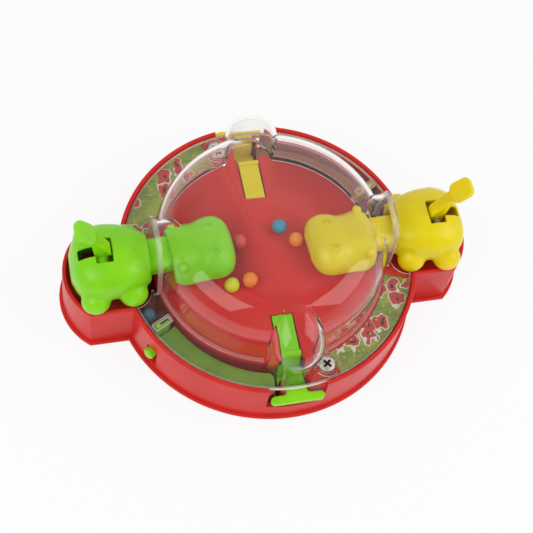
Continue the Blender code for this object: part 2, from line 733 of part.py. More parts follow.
def make_clear_cover():
    bottom, flange_top = FLANGE_BOTTOM, FLANGE_BOTTOM + FLANGE_THICKNESS
    cover = prism(circle(FLANGE_RADIUS, steps=RIM_STEPS), bottom, flange_top, "clear_cover")

    def feet_cut(sign):
        place = (FEET_CUT_X, sign * FEET_CUT_Y)
        outline = circle(FEET_CUT_RADIUS, *place, steps=HOOD_STEPS)
        return prism(outline, bottom - OVERRUN, flange_top + OVERRUN)

    def neck_cut():
        out = (FEET_CUT_START, FLANGE_RADIUS + OVERRUN)
        return box(out, (-NECK_CUT_HALF_WIDTH, NECK_CUT_HALF_WIDTH), (bottom - OVERRUN, flange_top + OVERRUN))

    both_sides(cover, cut, lambda: feet_cut(1))
    both_sides(cover, cut, lambda: feet_cut(-1))
    both_sides(cover, cut, neck_cut)

    above = bottom + FLANGE_THICKNESS / 2
    lip_start = ARCH_OUTER_END - ARCH_LIP_LENGTH
    lip_half, lip_top = ARCH_HALF_WIDTH + ARCH_LIP_STEP, ARCH_TOP + ARCH_LIP_STEP
    join(cover, turned(dome_profile(DOME_RADIUS, DOME_TOP, DOME_SHOULDER, above), steps=DOME_STEPS))
    both_sides(cover, join, lambda: hood(0.0, above))
    both_sides(cover, join, lambda: tunnel(ARCH_INNER_END, ARCH_OUTER_END, ARCH_HALF_WIDTH, ARCH_TOP, above))
    both_sides(cover, join, lambda: tunnel(lip_start, ARCH_OUTER_END, lip_half, lip_top, above))

    def pocket(inset, top, low):
        reach = (POCKET_INNER + inset, POCKET_OUTER - inset)
        half = POCKET_HALF_WIDTH - inset
        shape = box(reach, (-half, half), (low, top))
        shape.data.transform(gate_frame())
        return shape

    screw_place = (COVER_SCREW_X, COVER_SCREW_Y)
    collar_top = flange_top + COLLAR_HEIGHT
    both_sides(cover, join, lambda: pocket(0.0, POCKET_TOP, above))
    both_sides(cover, join, lambda: hole_tool(screw_place, COLLAR_RADIUS, above, collar_top))

    under = bottom - OVERRUN
    shoulder = DOME_SHOULDER - COVER_WALL
    inner_top = DOME_TOP - COVER_WALL
    inner_dome = dome_profile(DOME_RADIUS - COVER_WALL, inner_top, shoulder, under)
    hole_half, hole_top = ARCH_HALF_WIDTH - COVER_WALL, ARCH_TOP - COVER_WALL
    hole_end = ARCH_OUTER_END + OVERRUN
    collar_inner = COLLAR_RADIUS - COLLAR_WALL
    cut(cover, turned(inner_dome, steps=DOME_STEPS))
    both_sides(cover, cut, lambda: hood(COVER_WALL, under))
    both_sides(cover, cut, lambda: tunnel(ARCH_INNER_END, hole_end, hole_half, hole_top, under))
    both_sides(cover, cut, lambda: pocket(POCKET_WALL, POCKET_TOP - 2 * POCKET_WALL, under))
    both_sides(cover, cut, lambda: hole_tool(screw_place, collar_inner, flange_top, collar_top + OVERRUN))
    both_sides(cover, cut, lambda: hole_tool(screw_place, COVER_SCREW_SHAFT + GAP, under, collar_top))
    return finish(cover, "clear_plastic")


def finish(obj, material_name, origin=(0.0, 0.0, 0.0)):
    """Moves the origin to where the piece turns, shades it and gives it its colour."""
    obj.data.transform(Matrix.Translation(-Vector(origin)))
    obj.location = origin
    obj.data.materials.clear()
    obj.data.materials.append(material(material_name))
    obj.data.shade_smooth()
    obj.data.set_sharp_from_angle(angle=math.radians(35.0))
    return obj


def body_section(share, inset):
    """The body's outline at this share of its length, drawn in by the inset."""
    def at(shares):
        for (x0, v0), (x1, v1) in zip(zip(BODY_X_SHARES, shares), zip(BODY_X_SHARES[1:], shares[1:])):
            if share <= x1:
                return v0 + (v1 - v0) * (share - x0) / (x1 - x0)
        return shares[-1]
    height = BODY_TOP - BODY_BOTTOM
    half = BODY_HALF_WIDTH * at(BODY_WIDTH_SHARES) - inset
    top = BODY_BOTTOM + height * at(BODY_TOP_SHARES) - inset
    bottom = BODY_BOTTOM + height * at(BODY_BOTTOM_SHARES) + inset
    return half, bottom, top


def rounded_ring(x, half, bottom, top, flare, steps):
    """A closed rounded ring in the plane of x."""
    middle, tall = (top + bottom) / 2, (top - bottom) / 2
    points = []
    for k in range(steps):
        y, z = polar(1.0, 360.0 * (k + 0.5) / steps)
        y = math.copysign(abs(y) ** (2 / flare), y)
        z = math.copysign(abs(z) ** (2 / flare), z)
        points.append((x, half * y, middle + tall * z))
    return points


def make_body():
    length = BODY_BACK - BODY_FRONT
    outer = []
    for share in BODY_X_SHARES:
        x = BODY_FRONT + length * share
        outer.append(rounded_ring(x, *body_section(share, 0.0), BODY_FLARE, SECTION_STEPS))
    body = loft(outer, "hippo_body")
    for centre in (FRONT_FOOT, REAR_FOOT):
        for sign in (-1, 1):
            place = (centre[0], sign * centre[1], centre[2])
            join(body, ellipsoid(place, (FOOT_LENGTH, FOOT_WIDTH, FOOT_HEIGHT)))

    inner = []
    for share in BODY_X_SHARES:
        x = BODY_FRONT + length * share
        x = min(max(x, BODY_FRONT + BODY_WALL), BODY_BACK - BODY_WALL)
        inner.append(rounded_ring(x, *body_section(share, BODY_WALL), BODY_FLARE, SECTION_STEPS))
    inner = inner[1:-1]
    hollow = loft(inner)
    inside = (inner[0][0][0] + BODY_WALL, inner[-1][0][0] - 2 * BODY_WALL)
    join(hollow, box(inside, (-BELLY_HALF_WIDTH, BELLY_HALF_WIDTH), (BODY_BOTTOM - OVERRUN, BELLY_TOP)))

    # Lugs for the lever's pin and the rear screw boss stand in the hollow
    for sign in (-1, 1):
        near, far = sorted((sign * PIN_LUG_START, sign * PIN_LUG_END))
        x_range = (LEVER_X - PIN_LUG_HALF, LEVER_X + PIN_LUG_HALF)
        cut(hollow, box(x_range, (near, far), (LEVER_Z - PIN_LUG_HALF, BODY_TOP)))
    hole = SMALL_SHAFT + GAP
    cut(hollow, hole_tool(BODY_SCREW_REAR, hole + BOSS_WALL, BODY_BOTTOM - 2 * OVERRUN, REAR_BOSS_TOP))
    cut(body, hollow)

    mouth = (BODY_FRONT - OVERRUN, BODY_FRONT + length / 4)
    cut(body, box(mouth, (-MOUTH_HALF_WIDTH, MOUTH_HALF_WIDTH), (MOUTH_BOTTOM, MOUTH_TOP)))
    slot = [
        (SLOT_INNER, -SLOT_HALF_WIDTH), (SLOT_MIDDLE, -SLOT_HALF_WIDTH), (SLOT_MIDDLE, -STEM_HALF_WIDTH),
        (SLOT_OUTER, -STEM_HALF_WIDTH), (SLOT_OUTER, STEM_HALF_WIDTH), (SLOT_MIDDLE, STEM_HALF_WIDTH),
        (SLOT_MIDDLE, SLOT_HALF_WIDTH), (SLOT_INNER, SLOT_HALF_WIDTH),
    ]
    cut(body, prism(slot, SLOT_FLOOR, BODY_TOP + OVERRUN))
    pin_hole = PIN_HALF_LENGTH + GAP
    line = (LEVER_X, LEVER_Z)
    cut(body, rod(PIN_RADIUS + GAP, (line[0], -pin_hole, line[1]), (line[0], pin_hole, line[1])))
    for place in (BODY_SCREW_FRONT, BODY_SCREW_REAR):
        cut(body, hole_tool(place, hole, BODY_BOTTOM - OVERRUN, BODY_SCREW_TIP + GAP))

    # The rim of the ear and the floor keep their room
    rim = prism(plan_outline(FOOT_WIDTH), BODY_BOTTOM - OVERRUN, RIM_TOP + GAP)
    cut(rim, prism(plan_outline(-RIM_WALL - GAP), BODY_BOTTOM - 2 * OVERRUN, RIM_TOP + OVERRUN))
    cut(body, rim)
    floor_room = (BODY_BOTTOM - OVERRUN, BODY_BOTTOM)
    cut(body, box((BODY_FRONT, BODY_BACK), (-EAR_HALF_WIDTH, EAR_HALF_WIDTH), floor_room))
    return body


def make_lever():
    hub = rod(LEVER_HUB, (0.0, LEVER_HUB_NEAR, 0.0), (0.0, LEVER_HUB_FAR, 0.0))
    hub.name = hub.data.name = "tail_lever"
    join(hub, side_plate(LEVER_RIB, -LEVER_RIB_HALF, LEVER_RIB_HALF))
    join(hub, side_plate(LEVER_PLATE, -LEVER_PLATE_HALF, LEVER_PLATE_HALF))

    tip = polar(LEVER_PUSH_LENGTH, LEVER_PUSH_DEG - 90.0)
    half = LEVER_PUSH_THICKNESS / 2
    across = polar(half, LEVER_PUSH_DEG)
    arm = [across, (tip[0] + across[0], tip[1] + across[1]), (tip[0] - across[0], tip[1] - across[1])]
    arm.append((-across[0], -across[1]))
    join(hub, side_plate(arm, -LEVER_RIB_HALF, LEVER_RIB_HALF))
    ends = [(tip[0], sign * LEVER_RIB_HALF, tip[1]) for sign in (-1, 1)]
    join(hub, rod(LEVER_TIP_RADIUS, *ends))

    corner = []
    for k in range(4):
        middle_x = (PADDLE_HALF_LENGTH - PADDLE_CORNER) * (1 if k in (0, 3) else -1)
        middle_y = (PADDLE_HALF_WIDTH - PADDLE_CORNER) * (1 if k in (0, 1) else -1)
        for step in range(4):
            x, y = polar(PADDLE_CORNER, 90.0 * k + 30.0 * step)
            corner.append((middle_x + x, middle_y + y))
    paddle = prism(corner, -PADDLE_THICKNESS / 2, PADDLE_THICKNESS / 2)
    tilt = Matrix.Rotation(-math.radians(PADDLE_TILT_DEG), 4, "Y")
    paddle.data.transform(Matrix.Translation((PADDLE_X, 0.0, PADDLE_Z)) @ tilt)
    join(hub, paddle)
    cut(hub, rod(PIN_RADIUS + GAP, (0.0, LEVER_HUB_NEAR - OVERRUN, 0.0), (0.0, LEVER_HUB_FAR + OVERRUN, 0.0)))
    hub.data.transform(Matrix.Translation((LEVER_X, 0.0, LEVER_Z)))
    return hub


def spring_points():
    """The wire's middle line: a leg beside the lever's rib, the turns round the pin, a leg up to the roof."""
    count = round(SPRING_TURNS * SPRING_POINTS_A_TURN)
    coil = []
    for k in range(count + 1):
        share = k / count
        degrees = SPRING_START_DEG - 360.0 * SPRING_TURNS * share
        x, z = polar(SPRING_RADIUS, degrees)
        coil.append(Vector((x, SPRING_START + (SPRING_END - SPRING_START) * share, z)))
    first = Vector((*polar(SPRING_LEVER_LEG, SPRING_START_DEG - 90.0), 0.0)).xzy
    last = Vector((*polar(SPRING_ROOF_LEG, SPRING_START_DEG - 360.0 * SPRING_TURNS - 90.0), 0.0)).xzy
    return [coil[0] + first] + coil + [coil[-1] + last]


def report_spring_gap(points):
    """Prints the least gap of the wire to itself, between points more than half a turn apart."""
    apart = SPRING_POINTS_A_TURN // 2 + 1
    least = min(
        (a - b).length - 2 * SPRING_WIRE
        for i, a in enumerate(points)
        for b in points[i + apart:]
    )
    print(f"return spring: least gap to itself {least * 1000:.2f} mm")


def make_spring():
    points = spring_points()
    report_spring_gap(points)
    curve = bpy.data.curves.new("return_spring", "CURVE")
    curve.dimensions = "3D"
    curve.bevel_depth = SPRING_WIRE
    curve.bevel_resolution = 1
    curve.use_fill_caps = True
    spline = curve.splines.new("POLY")
    spline.points.add(len(points) - 1)
    for target, point in zip(spline.points, points):
        target.co = (*point, 1.0)
    obj = bpy.data.objects.new("return_spring", curve)
    bpy.context.scene.collection.objects.link(obj)
    return obj


def neck_tube(front, back, grow):
    """The neck's section, grown by a clearance, from front to back."""
    side, top, turn = NECK_HALF_WIDTH + grow, NECK_TOP + grow, NECK_ROUND + grow
    ring = [(side, NECK_BOTTOM - grow), (side, top - turn)]
    for degrees in (30.0, 60.0, 90.0):
        y, z = polar(turn, degrees)
        ring.append((side - turn + y, top - turn + z))
    ring += [(-y, z) for y, z in reversed(ring)]
    return loft([[(x, y, z) for y, z in ring] for x in (front, back)])


def make_neck():
    neck = neck_tube(NECK_FRONT, NECK_BACK, 0.0)
    tail = (NECK_BACK - NECK_ROUND, TAIL_END)
    join(neck, box(tail, (-TAIL_HALF_WIDTH, TAIL_HALF_WIDTH), (TAIL_BOTTOM, TAIL_TOP)))
    tip_x = LEVER_X + polar(LEVER_PUSH_LENGTH, LEVER_PUSH_DEG - 90.0)[0]
    reach = LEVER_TIP_RADIUS + TAIL_SLOT_GAP
    slot_z = (TAIL_BOTTOM - OVERRUN, TAIL_TOP + OVERRUN)
    cut(neck, box((tip_x - reach, tip_x + reach), (-TAIL_SLOT_HALF, TAIL_SLOT_HALF), slot_z))
    half = NECK_HALF_WIDTH + OVERRUN
    line = (HEAD_PIN_X, HEAD_PIN_Z)
    cut(neck, rod(PIN_RADIUS + GAP, (line[0], -half, line[1]), (line[0], half, line[1])))
    return neck


def head_ring(share_index, inset, bottom):
    """An arch ring of the head, open below; the inner ring is drawn in by the inset."""
    length = HEAD_BACK - HEAD_NOSE
    x = HEAD_NOSE + length * HEAD_X_SHARES[share_index]
    x = min(max(x, HEAD_NOSE + inset), HEAD_BACK - inset)
    half = HEAD_HALF_WIDTH * HEAD_WIDTH_SHARES[share_index] - inset
    top = HEAD_BOTTOM + (HEAD_TOP - HEAD_BOTTOM) * HEAD_TOP_SHARES[share_index] - inset
    points = [(x, half, bottom)]
    spring = HEAD_BOTTOM + HEAD_SKIRT
    for k in range(HEAD_ARCH_STEPS + 1):
        y, z = polar(1.0, 180.0 * k / HEAD_ARCH_STEPS)
        y = math.copysign(abs(y) ** (2 / HEAD_FLARE), y)
        z = abs(z) ** (2 / HEAD_FLARE)
        points.append((x, half * y, spring + (top - spring) * z))
    points.append((x, -half, bottom))
    return points


def make_head():
    count = len(HEAD_X_SHARES)
    lip = HEAD_BOTTOM
    head = loft([head_ring(k, 0.0, lip) for k in range(count)], "head")
    nostril_z = HEAD_BOTTOM + (HEAD_TOP - HEAD_BOTTOM) * HEAD_TOP_SHARES[3]
    for sign in (-1, 1):
        place = (NOSTRIL_X, sign * NOSTRIL_Y, nostril_z - NOSTRIL_RADIUS)
        radii = (NOSTRIL_RADIUS, NOSTRIL_RADIUS, NOSTRIL_RADIUS + NOSTRIL_RISE)
        join(head, ellipsoid(place, radii))
        join(head, ellipsoid((EAR_X, sign * EAR_Y, EAR_Z), (EAR_RADIUS,) * 3))
    hollow = loft([head_ring(k, HEAD_WALL, lip - OVERRUN) for k in range(1, count - 1)])
    for sign in (-1, 1):
        near, far = sorted((sign * HEAD_LUG_START, sign * HEAD_LUG_END))
        x_range = (HEAD_PIN_X - HEAD_LUG_HALF, HEAD_PIN_X + HEAD_LUG_HALF)
        cut(hollow, box(x_range, (near, far), (HEAD_BOTTOM, HEAD_PIN_Z + HEAD_LUG_HALF)))
    cut(head, hollow)
    cut(head, neck_tube(HEAD_PIN_X - HEAD_LUG_HALF / 2, HEAD_BACK + OVERRUN, HEAD_DOOR_GAP))
    for sign in (-1, 1):
        x, y = NOSTRIL_X, sign * NOSTRIL_Y
        hole = [(NOSTRIL_HOLE, nostril_z), (NOSTRIL_HOLE, nostril_z + NOSTRIL_RADIUS)]
        cut(head, turned(hole, x, y, NOSTRIL_STEPS))
    ends = [(HEAD_PIN_X, sign * (HEAD_PIN_HALF + GAP), HEAD_PIN_Z) for sign in (-1, 1)]
    cut(head, rod(PIN_RADIUS + GAP, *ends))
    return head


def make_gate():
    blade = box((GATE_INNER, GATE_OUTER), (-GATE_THICKNESS / 2, GATE_THICKNESS / 2), (GATE_BOTTOM, GATE_TOP))
    blade.name = blade.data.name = "gate"
    tip = (GATE_OUTER - GATE_TIP_LENGTH, GATE_OUTER)
    join(blade, box(tip, (-GATE_THICKNESS / 2, GATE_THICKNESS / 2), (GATE_TOP - OVERRUN, GATE_TIP_TOP)))
    blade.data.transform(gate_frame())
    arm_z = (GATE_ARM_TOP - GATE_ARM_HEIGHT, GATE_ARM_TOP)
    join(blade, sector(GATE_ARM_INNER, GATE_ARM_OUTER, GATE_DEG, PEG_DEG, *arm_z))
    side = PEG_RADIUS * 0.7
    join(blade, turn_about_z(box((GATE_ARM_INNER, PEG_START + PEG_CROWN), (-side, side), arm_z), PEG_DEG))
    length = PEG_END - PEG_START
    peg = turned([(PEG_RADIUS, 0.0), (PEG_RADIUS, length - PEG_CROWN), (PEG_RADIUS - PEG_CROWN, length)])
    lay = Matrix.Translation((PEG_START, 0.0, PEG_HEIGHT)) @ Matrix.Rotation(math.pi / 2, 4, "Y")
    peg.data.transform(lay)
    join(blade, turn_about_z(peg, PEG_DEG))
    return blade


def make_ramp():
    start = GATE_DEG + degrees_of(GATE_THICKNESS / 2 + RUNNING_GAP, CHANNEL_INNER)
    well = math.degrees(math.acos((CUP_HALF_WIDTH + RUNNING_GAP + GAP) / CHANNEL_INNER))
    inner, outer = CHANNEL_INNER + RAMP_FRONT_GAP, CHANNEL_OUTER - RAMP_FRONT_GAP
    def underside(degrees):
        return channel_floor(degrees) - RAMP_THICKNESS
    return sector(inner, outer, start, well, underside, channel_floor)


def make_label():
    bottom = DECK_TOP - LABEL_RECESS + GAP
    side = degrees_of(GAP, LABEL_INNER)
    start, end = LABEL_START_DEG + side, LABEL_END_DEG - side
    return sector(LABEL_INNER + GAP, LABEL_OUTER - GAP, start, end, bottom, bottom + LABEL_THICKNESS)


def make_launcher():
    """Drawn in the plane of Y and Z, then made as wide as each stretch needs."""
    top, under = DECK_TOP, DECK_TOP - STRIP_THICKNESS

    def stretch(outline, half):
        return loft([[(x, y, z) for y, z in outline] for x in (-half, half)])

    strip = [(STRIP_START, under), (FOLD_END, under), (FOLD_END, top), (STRIP_START, top)]
    made = stretch(strip, LAUNCHER_HALF_WIDTH)
    made.name = made.data.name = "launcher"
    crest = top + FOLD_HEIGHT
    fold = [(STRIP_END, under), (FOLD_END, under), (FOLD_END, top)]
    fold += [(FOLD_END - FOLD_HEIGHT, crest), (STRIP_END, crest)]
    join(made, stretch(fold, FOLD_HALF_WIDTH))
    thick = STRIP_THICKNESS
    neck_under = HANDLE_TOP - HANDLE_THICKNESS
    arm = [
        (FOLD_END - thick, under + thick / 2), (CUP_START - thick, CUP_FLOOR - thick),
        (CUP_END + thick, CUP_FLOOR - thick), (HANDLE_START - thick, neck_under),
        (HANDLE_START + thick, neck_under), (HANDLE_START + thick, HANDLE_TOP),
        (HANDLE_START - 2 * thick, HANDLE_TOP), (CUP_END, CUP_FLOOR),
        (CUP_START, CUP_FLOOR), (FOLD_END, top - thick / 2),
    ]
    join(made, stretch(arm, HANDLE_NECK_HALF_WIDTH))
    wall = [(CUP_START, CUP_FLOOR - thick), (CUP_END, CUP_FLOOR - thick), (CUP_END, CUP_FLOOR + CUP_LEDGE)]
    wall.append((CUP_START, CUP_FLOOR + CUP_LEDGE))
    ledge = stretch(wall, thick / 2)
    ledge.data.transform(Matrix.Translation((-CUP_HALF_WIDTH + thick / 2, 0.0, 0.0)))
    join(made, ledge)
    cup = [(CUP_START, CUP_FLOOR - thick), (CUP_END, CUP_FLOOR - thick)]
    cup += [(CUP_END, CUP_FLOOR), (CUP_START, CUP_FLOOR)]
    join(made, stretch(cup, CUP_HALF_WIDTH))

    corner = (HANDLE_END - HANDLE_START) / 2
    handle = []
    for sign, first in ((1, -90.0), (-1, 90.0)):
        for step in range(7):
            x, y = polar(corner, first + 30.0 * step)
            handle.append((sign * (HANDLE_HALF_WIDTH - corner) + x, HANDLE_START + corner + y))
    join(made, prism(handle, neck_under, HANDLE_TOP))
    web = [(PIVOT_OUT - PIVOT_HUB, PIVOT_HEIGHT), (PIVOT_OUT + PIVOT_HUB, PIVOT_HEIGHT)]
    web += [(PIVOT_OUT + PIVOT_HUB, top - thick / 2), (PIVOT_OUT - PIVOT_HUB / 2, top - thick / 2)]
    join(made, stretch(web, LAUNCHER_HALF_WIDTH))
    half = LAUNCHER_HALF_WIDTH
    ends = [(sign * half, PIVOT_OUT, PIVOT_HEIGHT) for sign in (-1, 1)]
    join(made, rod(PIVOT_HUB, *ends))
    stub = [(sign * STUB_HALF_LENGTH, PIVOT_OUT, PIVOT_HEIGHT) for sign in (-1, 1)]
    join(made, rod(STUB_RADIUS, *stub))
    return made


def lean_frame():
    """The play of the neck in the body: head and neck lean about an upright line in the body."""
    move = Matrix.Translation((LEAN_X, 0.0, 0.0))
    return move @ Matrix.Rotation(math.radians(LEAN_DEG), 4, "Z") @ move.inverted()


def make_side(side, degrees, colour):
    """All the pieces of one hippo's side, under an empty that is turned to that side."""
    frame = bpy.data.objects.new(f"{side}_side", None)
    frame.rotation_euler = (0.0, 0.0, math.radians(degrees))
    bpy.context.scene.collection.objects.link(frame)

    def add(obj, name, material_name, origin=(0.0, 0.0, 0.0)):
        obj.name = obj.data.name = f"{side}_{name}"
        if obj.type == "MESH":
            finish(obj, material_name, origin)
        else:
            obj.data.materials.append(material(material_name))
            obj.location = origin
        obj.parent = frame

    axis = (LEVER_X, 0.0, LEVER_Z)
    lean = lean_frame()
    head_axis = lean @ Vector((HEAD_PIN_X, 0.0, HEAD_PIN_Z))
    neck, head = make_neck(), make_head()
    ends = [(HEAD_PIN_X, sign * HEAD_PIN_HALF, HEAD_PIN_Z) for sign in (-1, 1)]
    head_pin = rod(PIN_RADIUS, *ends)
    for piece in (neck, head, head_pin):
        piece.data.transform(lean)
    add(make_body(), "hippo_body", colour)
    add(make_lever(), "tail_lever", colour, axis)
    lever_ends = [(LEVER_X, sign * PIN_HALF_LENGTH, LEVER_Z) for sign in (-1, 1)]
    add(rod(PIN_RADIUS, *lever_ends), "lever_pin", "screw_steel")
    add(make_spring(), "return_spring", "screw_steel", axis)
    add(neck, "neck", colour)
    add(head, "head", colour, head_axis)
    add(head_pin, "head_pin", "screw_steel")
    add(make_gate(), "gate", colour)
    add(make_ramp(), "ball_ramp", "ramp_plastic")
    add(make_label(), "side_label", "printed_card")
    add(make_launcher(), "launcher", colour, (0.0, PIVOT_OUT, PIVOT_HEIGHT))
    seat = DECK_TOP - DECK_THICKNESS - GAP
    for name, place in (("front_screw", BODY_SCREW_FRONT), ("rear_screw", BODY_SCREW_REAR)):
        made = screw(name, place, seat, SMALL_HEAD, SMALL_HEAD_HEIGHT, SMALL_SHAFT, BODY_SCREW_TIP, True)
        add(made, name, "screw_steel")
    seat = FLANGE_BOTTOM + FLANGE_THICKNESS + GAP
    size = (COVER_SCREW_HEAD, COVER_SCREW_HEAD_HEIGHT, COVER_SCREW_SHAFT, COVER_SCREW_TIP)
    place = (COVER_SCREW_X, COVER_SCREW_Y)
    add(screw("cover_screw", place, seat, *size, False), "cover_screw", "screw_steel")


def make_ball(name, place, height, colour):
    ball = ellipsoid((0.0, 0.0, 0.0), (BALL_RADIUS,) * 3, BALL_STEPS)
    ball.name = ball.data.name = name
    finish(ball, colour)
    ball.location = (*place, height)


def make_balls():
    on_deck = DECK_TOP + GAP + BALL_RADIUS
    make_ball("blue_ball", BLUE_BALL, on_deck, "blue_ball")
    make_ball("orange_ball", ORANGE_BALL, on_deck, "orange_ball")
    make_ball("red_ball", RED_BALL, on_deck, "red_ball")
    make_ball("front_orange_ball", FRONT_ORANGE_BALL, on_deck, "orange_ball")
    make_ball("yellow_ball", YELLOW_BALL, on_deck, "yellow_ball")
    angle = math.degrees(math.atan2(-TRAY_BALL[1], -TRAY_BALL[0]))
    make_ball("tray_ball", TRAY_BALL, channel_floor(angle) + GAP + BALL_RADIUS, "blue_ball")


def make_bottom_screws():
    for number, place in enumerate(post_places(), start=1):
        seat = POST_BOTTOM - GAP - BOSS_WALL - GAP
        size = (SMALL_HEAD, SMALL_HEAD_HEIGHT, SMALL_SHAFT, POST_SCREW_TIP)
        screw(f"bottom_screw_{number}", place, seat, *size, True)


def main():
    clear_scene()
    make_base()
    make_bottom_cover()
    make_bottom_screws()
    make_clear_cover()
    make_side("yellow", 0.0, "yellow_plastic")
    make_side("green", 180.0, "green_plastic")
    make_balls()


main()
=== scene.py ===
"""Looks of the ball-eating hippo game: fine surfaces, finishes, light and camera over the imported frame.

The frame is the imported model: its origin is at the middle of the underside, the yellow hippo stands at +X,
the green one at -X, the rear launcher is at +Y and the front one at -Y. Bodies, heads and springs are drawn
once, for the yellow side, and turned half round for the green one. Lengths in metres, angles in degrees.
"""

import math

import bmesh
import bpy
from mathutils import Matrix, Vector


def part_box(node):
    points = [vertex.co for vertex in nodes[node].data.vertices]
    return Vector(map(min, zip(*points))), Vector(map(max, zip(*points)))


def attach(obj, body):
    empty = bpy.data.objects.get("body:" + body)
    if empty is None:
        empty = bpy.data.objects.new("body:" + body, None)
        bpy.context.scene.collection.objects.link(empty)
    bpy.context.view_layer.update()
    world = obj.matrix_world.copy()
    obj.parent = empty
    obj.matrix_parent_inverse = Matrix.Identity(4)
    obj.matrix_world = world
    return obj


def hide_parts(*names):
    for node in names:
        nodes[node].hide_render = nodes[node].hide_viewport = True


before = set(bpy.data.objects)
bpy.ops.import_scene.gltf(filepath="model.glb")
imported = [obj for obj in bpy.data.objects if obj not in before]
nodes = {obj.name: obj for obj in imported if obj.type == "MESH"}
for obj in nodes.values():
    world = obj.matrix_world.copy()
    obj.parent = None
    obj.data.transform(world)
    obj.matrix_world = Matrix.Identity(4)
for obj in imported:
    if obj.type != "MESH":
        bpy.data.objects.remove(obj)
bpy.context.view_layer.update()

SIDES = {"yellow": 0.0, "green": 180.0}
OVERRUN = 0.0010
GAP = 0.0003

# Base
RIM_RADIUS = 0.0700
RIM_WALL = 0.0020
RIM_ROUND = 0.0008
EAR_HALF_WIDTH = 0.0213
EAR_ARC_X = 0.0675
EAR_ARC_RADIUS = 0.0278
WALL_DRAFT = 0.0008
WALL_SHARES = (0.03, 0.08, 0.2, 0.4, 0.6, 0.8, 1.0)
LIP_STEP = 0.0024
LIP_THICKNESS = 0.0020
LIP_ROUND = 0.0006
RIM_TOP = 0.0280
DECK_TOP = 0.0242

# Notches for the handles and slots for the pegs
NOTCH_HALF_WIDTH = 0.0133
NOTCH_BOTTOM = 0.0113
NOTCH_INNER = 0.0672
NOTCH_SCREEN = 0.0014
PEG_DEG = 31.2
PEG_SLOT_HALF = 0.00315
PEG_SLOT_Z = (0.00425, 0.01775)
PEG = (0.00275, 0.0724, 0.0146)
PEG_CAP = 0.0016
HANDLE = (0.0106, 0.0048, 0.0684, 0.0724)
HANDLE_Z = (0.0192, 0.0215)

# Posts of the bottom cover
POSTS = ((0.0300, 0.0300), (0.0380, -0.0380), (-0.0300, -0.0300), (-0.0380, 0.0380))
POST_RADIUS = 0.0038
POST_HOLE = 0.0029
POST_SHAFT_HOLE = 0.0014
POST_TOP = 0.0050
POST_SEAT = 0.0032

# Clear cover
DOME_RADIUS = 0.0533
DOME_DRAFT = 0.0004
DOME_SHOULDER = 0.0180
DOME_TOP = 0.0580
DOME_CROWN = 0.0006
COVER_WALL = 0.0015
FLANGE_RADIUS = 0.0675
FLANGE_BOTTOM = 0.0245
FLANGE_TOP = 0.0260
HOOD_INNER_END = 0.0300
HOOD_FALL_START = 0.0400
HOOD_OUT = 0.0530
HOOD_RADIUS = 0.0125
HOOD_TOP = 0.0570
HOOD_SPRING = 0.0400
ARCH_INNER_END = 0.0310
ARCH_OUTER_END = 0.0546
ARCH_HALF_WIDTH = 0.0134
ARCH_TOP = 0.0566
ARCH_SPRING = 0.0370
ARCH_FLARE_LENGTH = 0.0036
ARCH_FLARE = 0.0012
VAULT_CORNER_SHARE = 0.77
EDGE_BEAD = (0.0007, 0.0270)
FOOT_BEAD = (0.0011, 0.0013)
EDGE_LOW = 0.0022
EDGE_OUT = 0.0018
HOOD_MARGIN = 0.0008
FEET_CUT = (0.0650, 0.0112, 0.0082)
NECK_CUT = (0.0520, 0.0115)
GATE_DEG = 27.8
POCKET = (0.0570, 0.0660, 0.0018, 0.0280)
POCKET_WALL = 0.0005
COLLAR_RADIUS = 0.0057
COLLAR_WALL = 0.0012
COLLAR_HEIGHT = 0.0012
COVER_SCREW = (0.0148, -0.0589)
COVER_SCREW_HOLE = 0.0017

# Screws
COVER_SCREW_HEAD = 0.00385
SCREW_SEAT = 0.0263
SCREW_HEIGHT = 0.0018
SCREW_UNDERCUT = 0.0002
SCREW_SHAFT = 0.0014
SCREW_LENGTH = 0.0100
SCREW_TIP = 0.0014
CROSS_TOP = (0.0023, 0.00062)
CROSS_FOOT = (0.0015, 0.00036)
CROSS_DEPTH = 0.0013
CROSS_REACH = 0.0021
BOTTOM_SCREW_SCALE = 0.675

# Hippo body
BODY_FRONT = 0.0566
BODY_BACK = 0.0918
BODY_HALF_WIDTH = 0.0172
BODY_BOTTOM = 0.0245
BODY_TOP = 0.0486
BODY_WALL = 0.0016
BODY_FLARE = 2.5
BODY_X_SHARES = (0.0, 0.10, 0.26, 0.46, 0.66, 0.82, 0.93, 1.0)
BODY_WIDTH_SHARES = (0.64, 0.76, 0.91, 1.0, 1.0, 0.90, 0.71, 0.36)
BODY_TOP_SHARES = (0.80, 0.89, 0.97, 1.0, 1.0, 0.94, 0.81, 0.56)
BODY_BOTTOM_SHARES = (0.13, 0.05, 0.0, 0.0, 0.0, 0.0, 0.04, 0.20)
FEET = ((0.0652, 0.0142, 0.0309), (0.0822, 0.0158, 0.0309))
FOOT_RADII = (0.0066, 0.0062, 0.0063)
MOUTH_HALF_WIDTH = 0.0098
MOUTH_Z = (0.0290, 0.0406)
BELLY_HALF_WIDTH = 0.0108
BELLY_TOP = 0.0279
SLOT_X = (0.0729, 0.0803, 0.0878)
SLOT_HALF_WIDTH = 0.0060
STEM_HALF_WIDTH = 0.0025
SLOT_FLOOR = 0.0440
LEVER_LINE = (0.0775, 0.0425)
PIN_HOLE = 0.0013
PIN_HALF_LENGTH = 0.0095
PIN_LUG = (0.0067, 0.0150, 0.0026)
REAR_SCREW_X = 0.0875
REAR_BOSS = (0.0032, 0.0350)

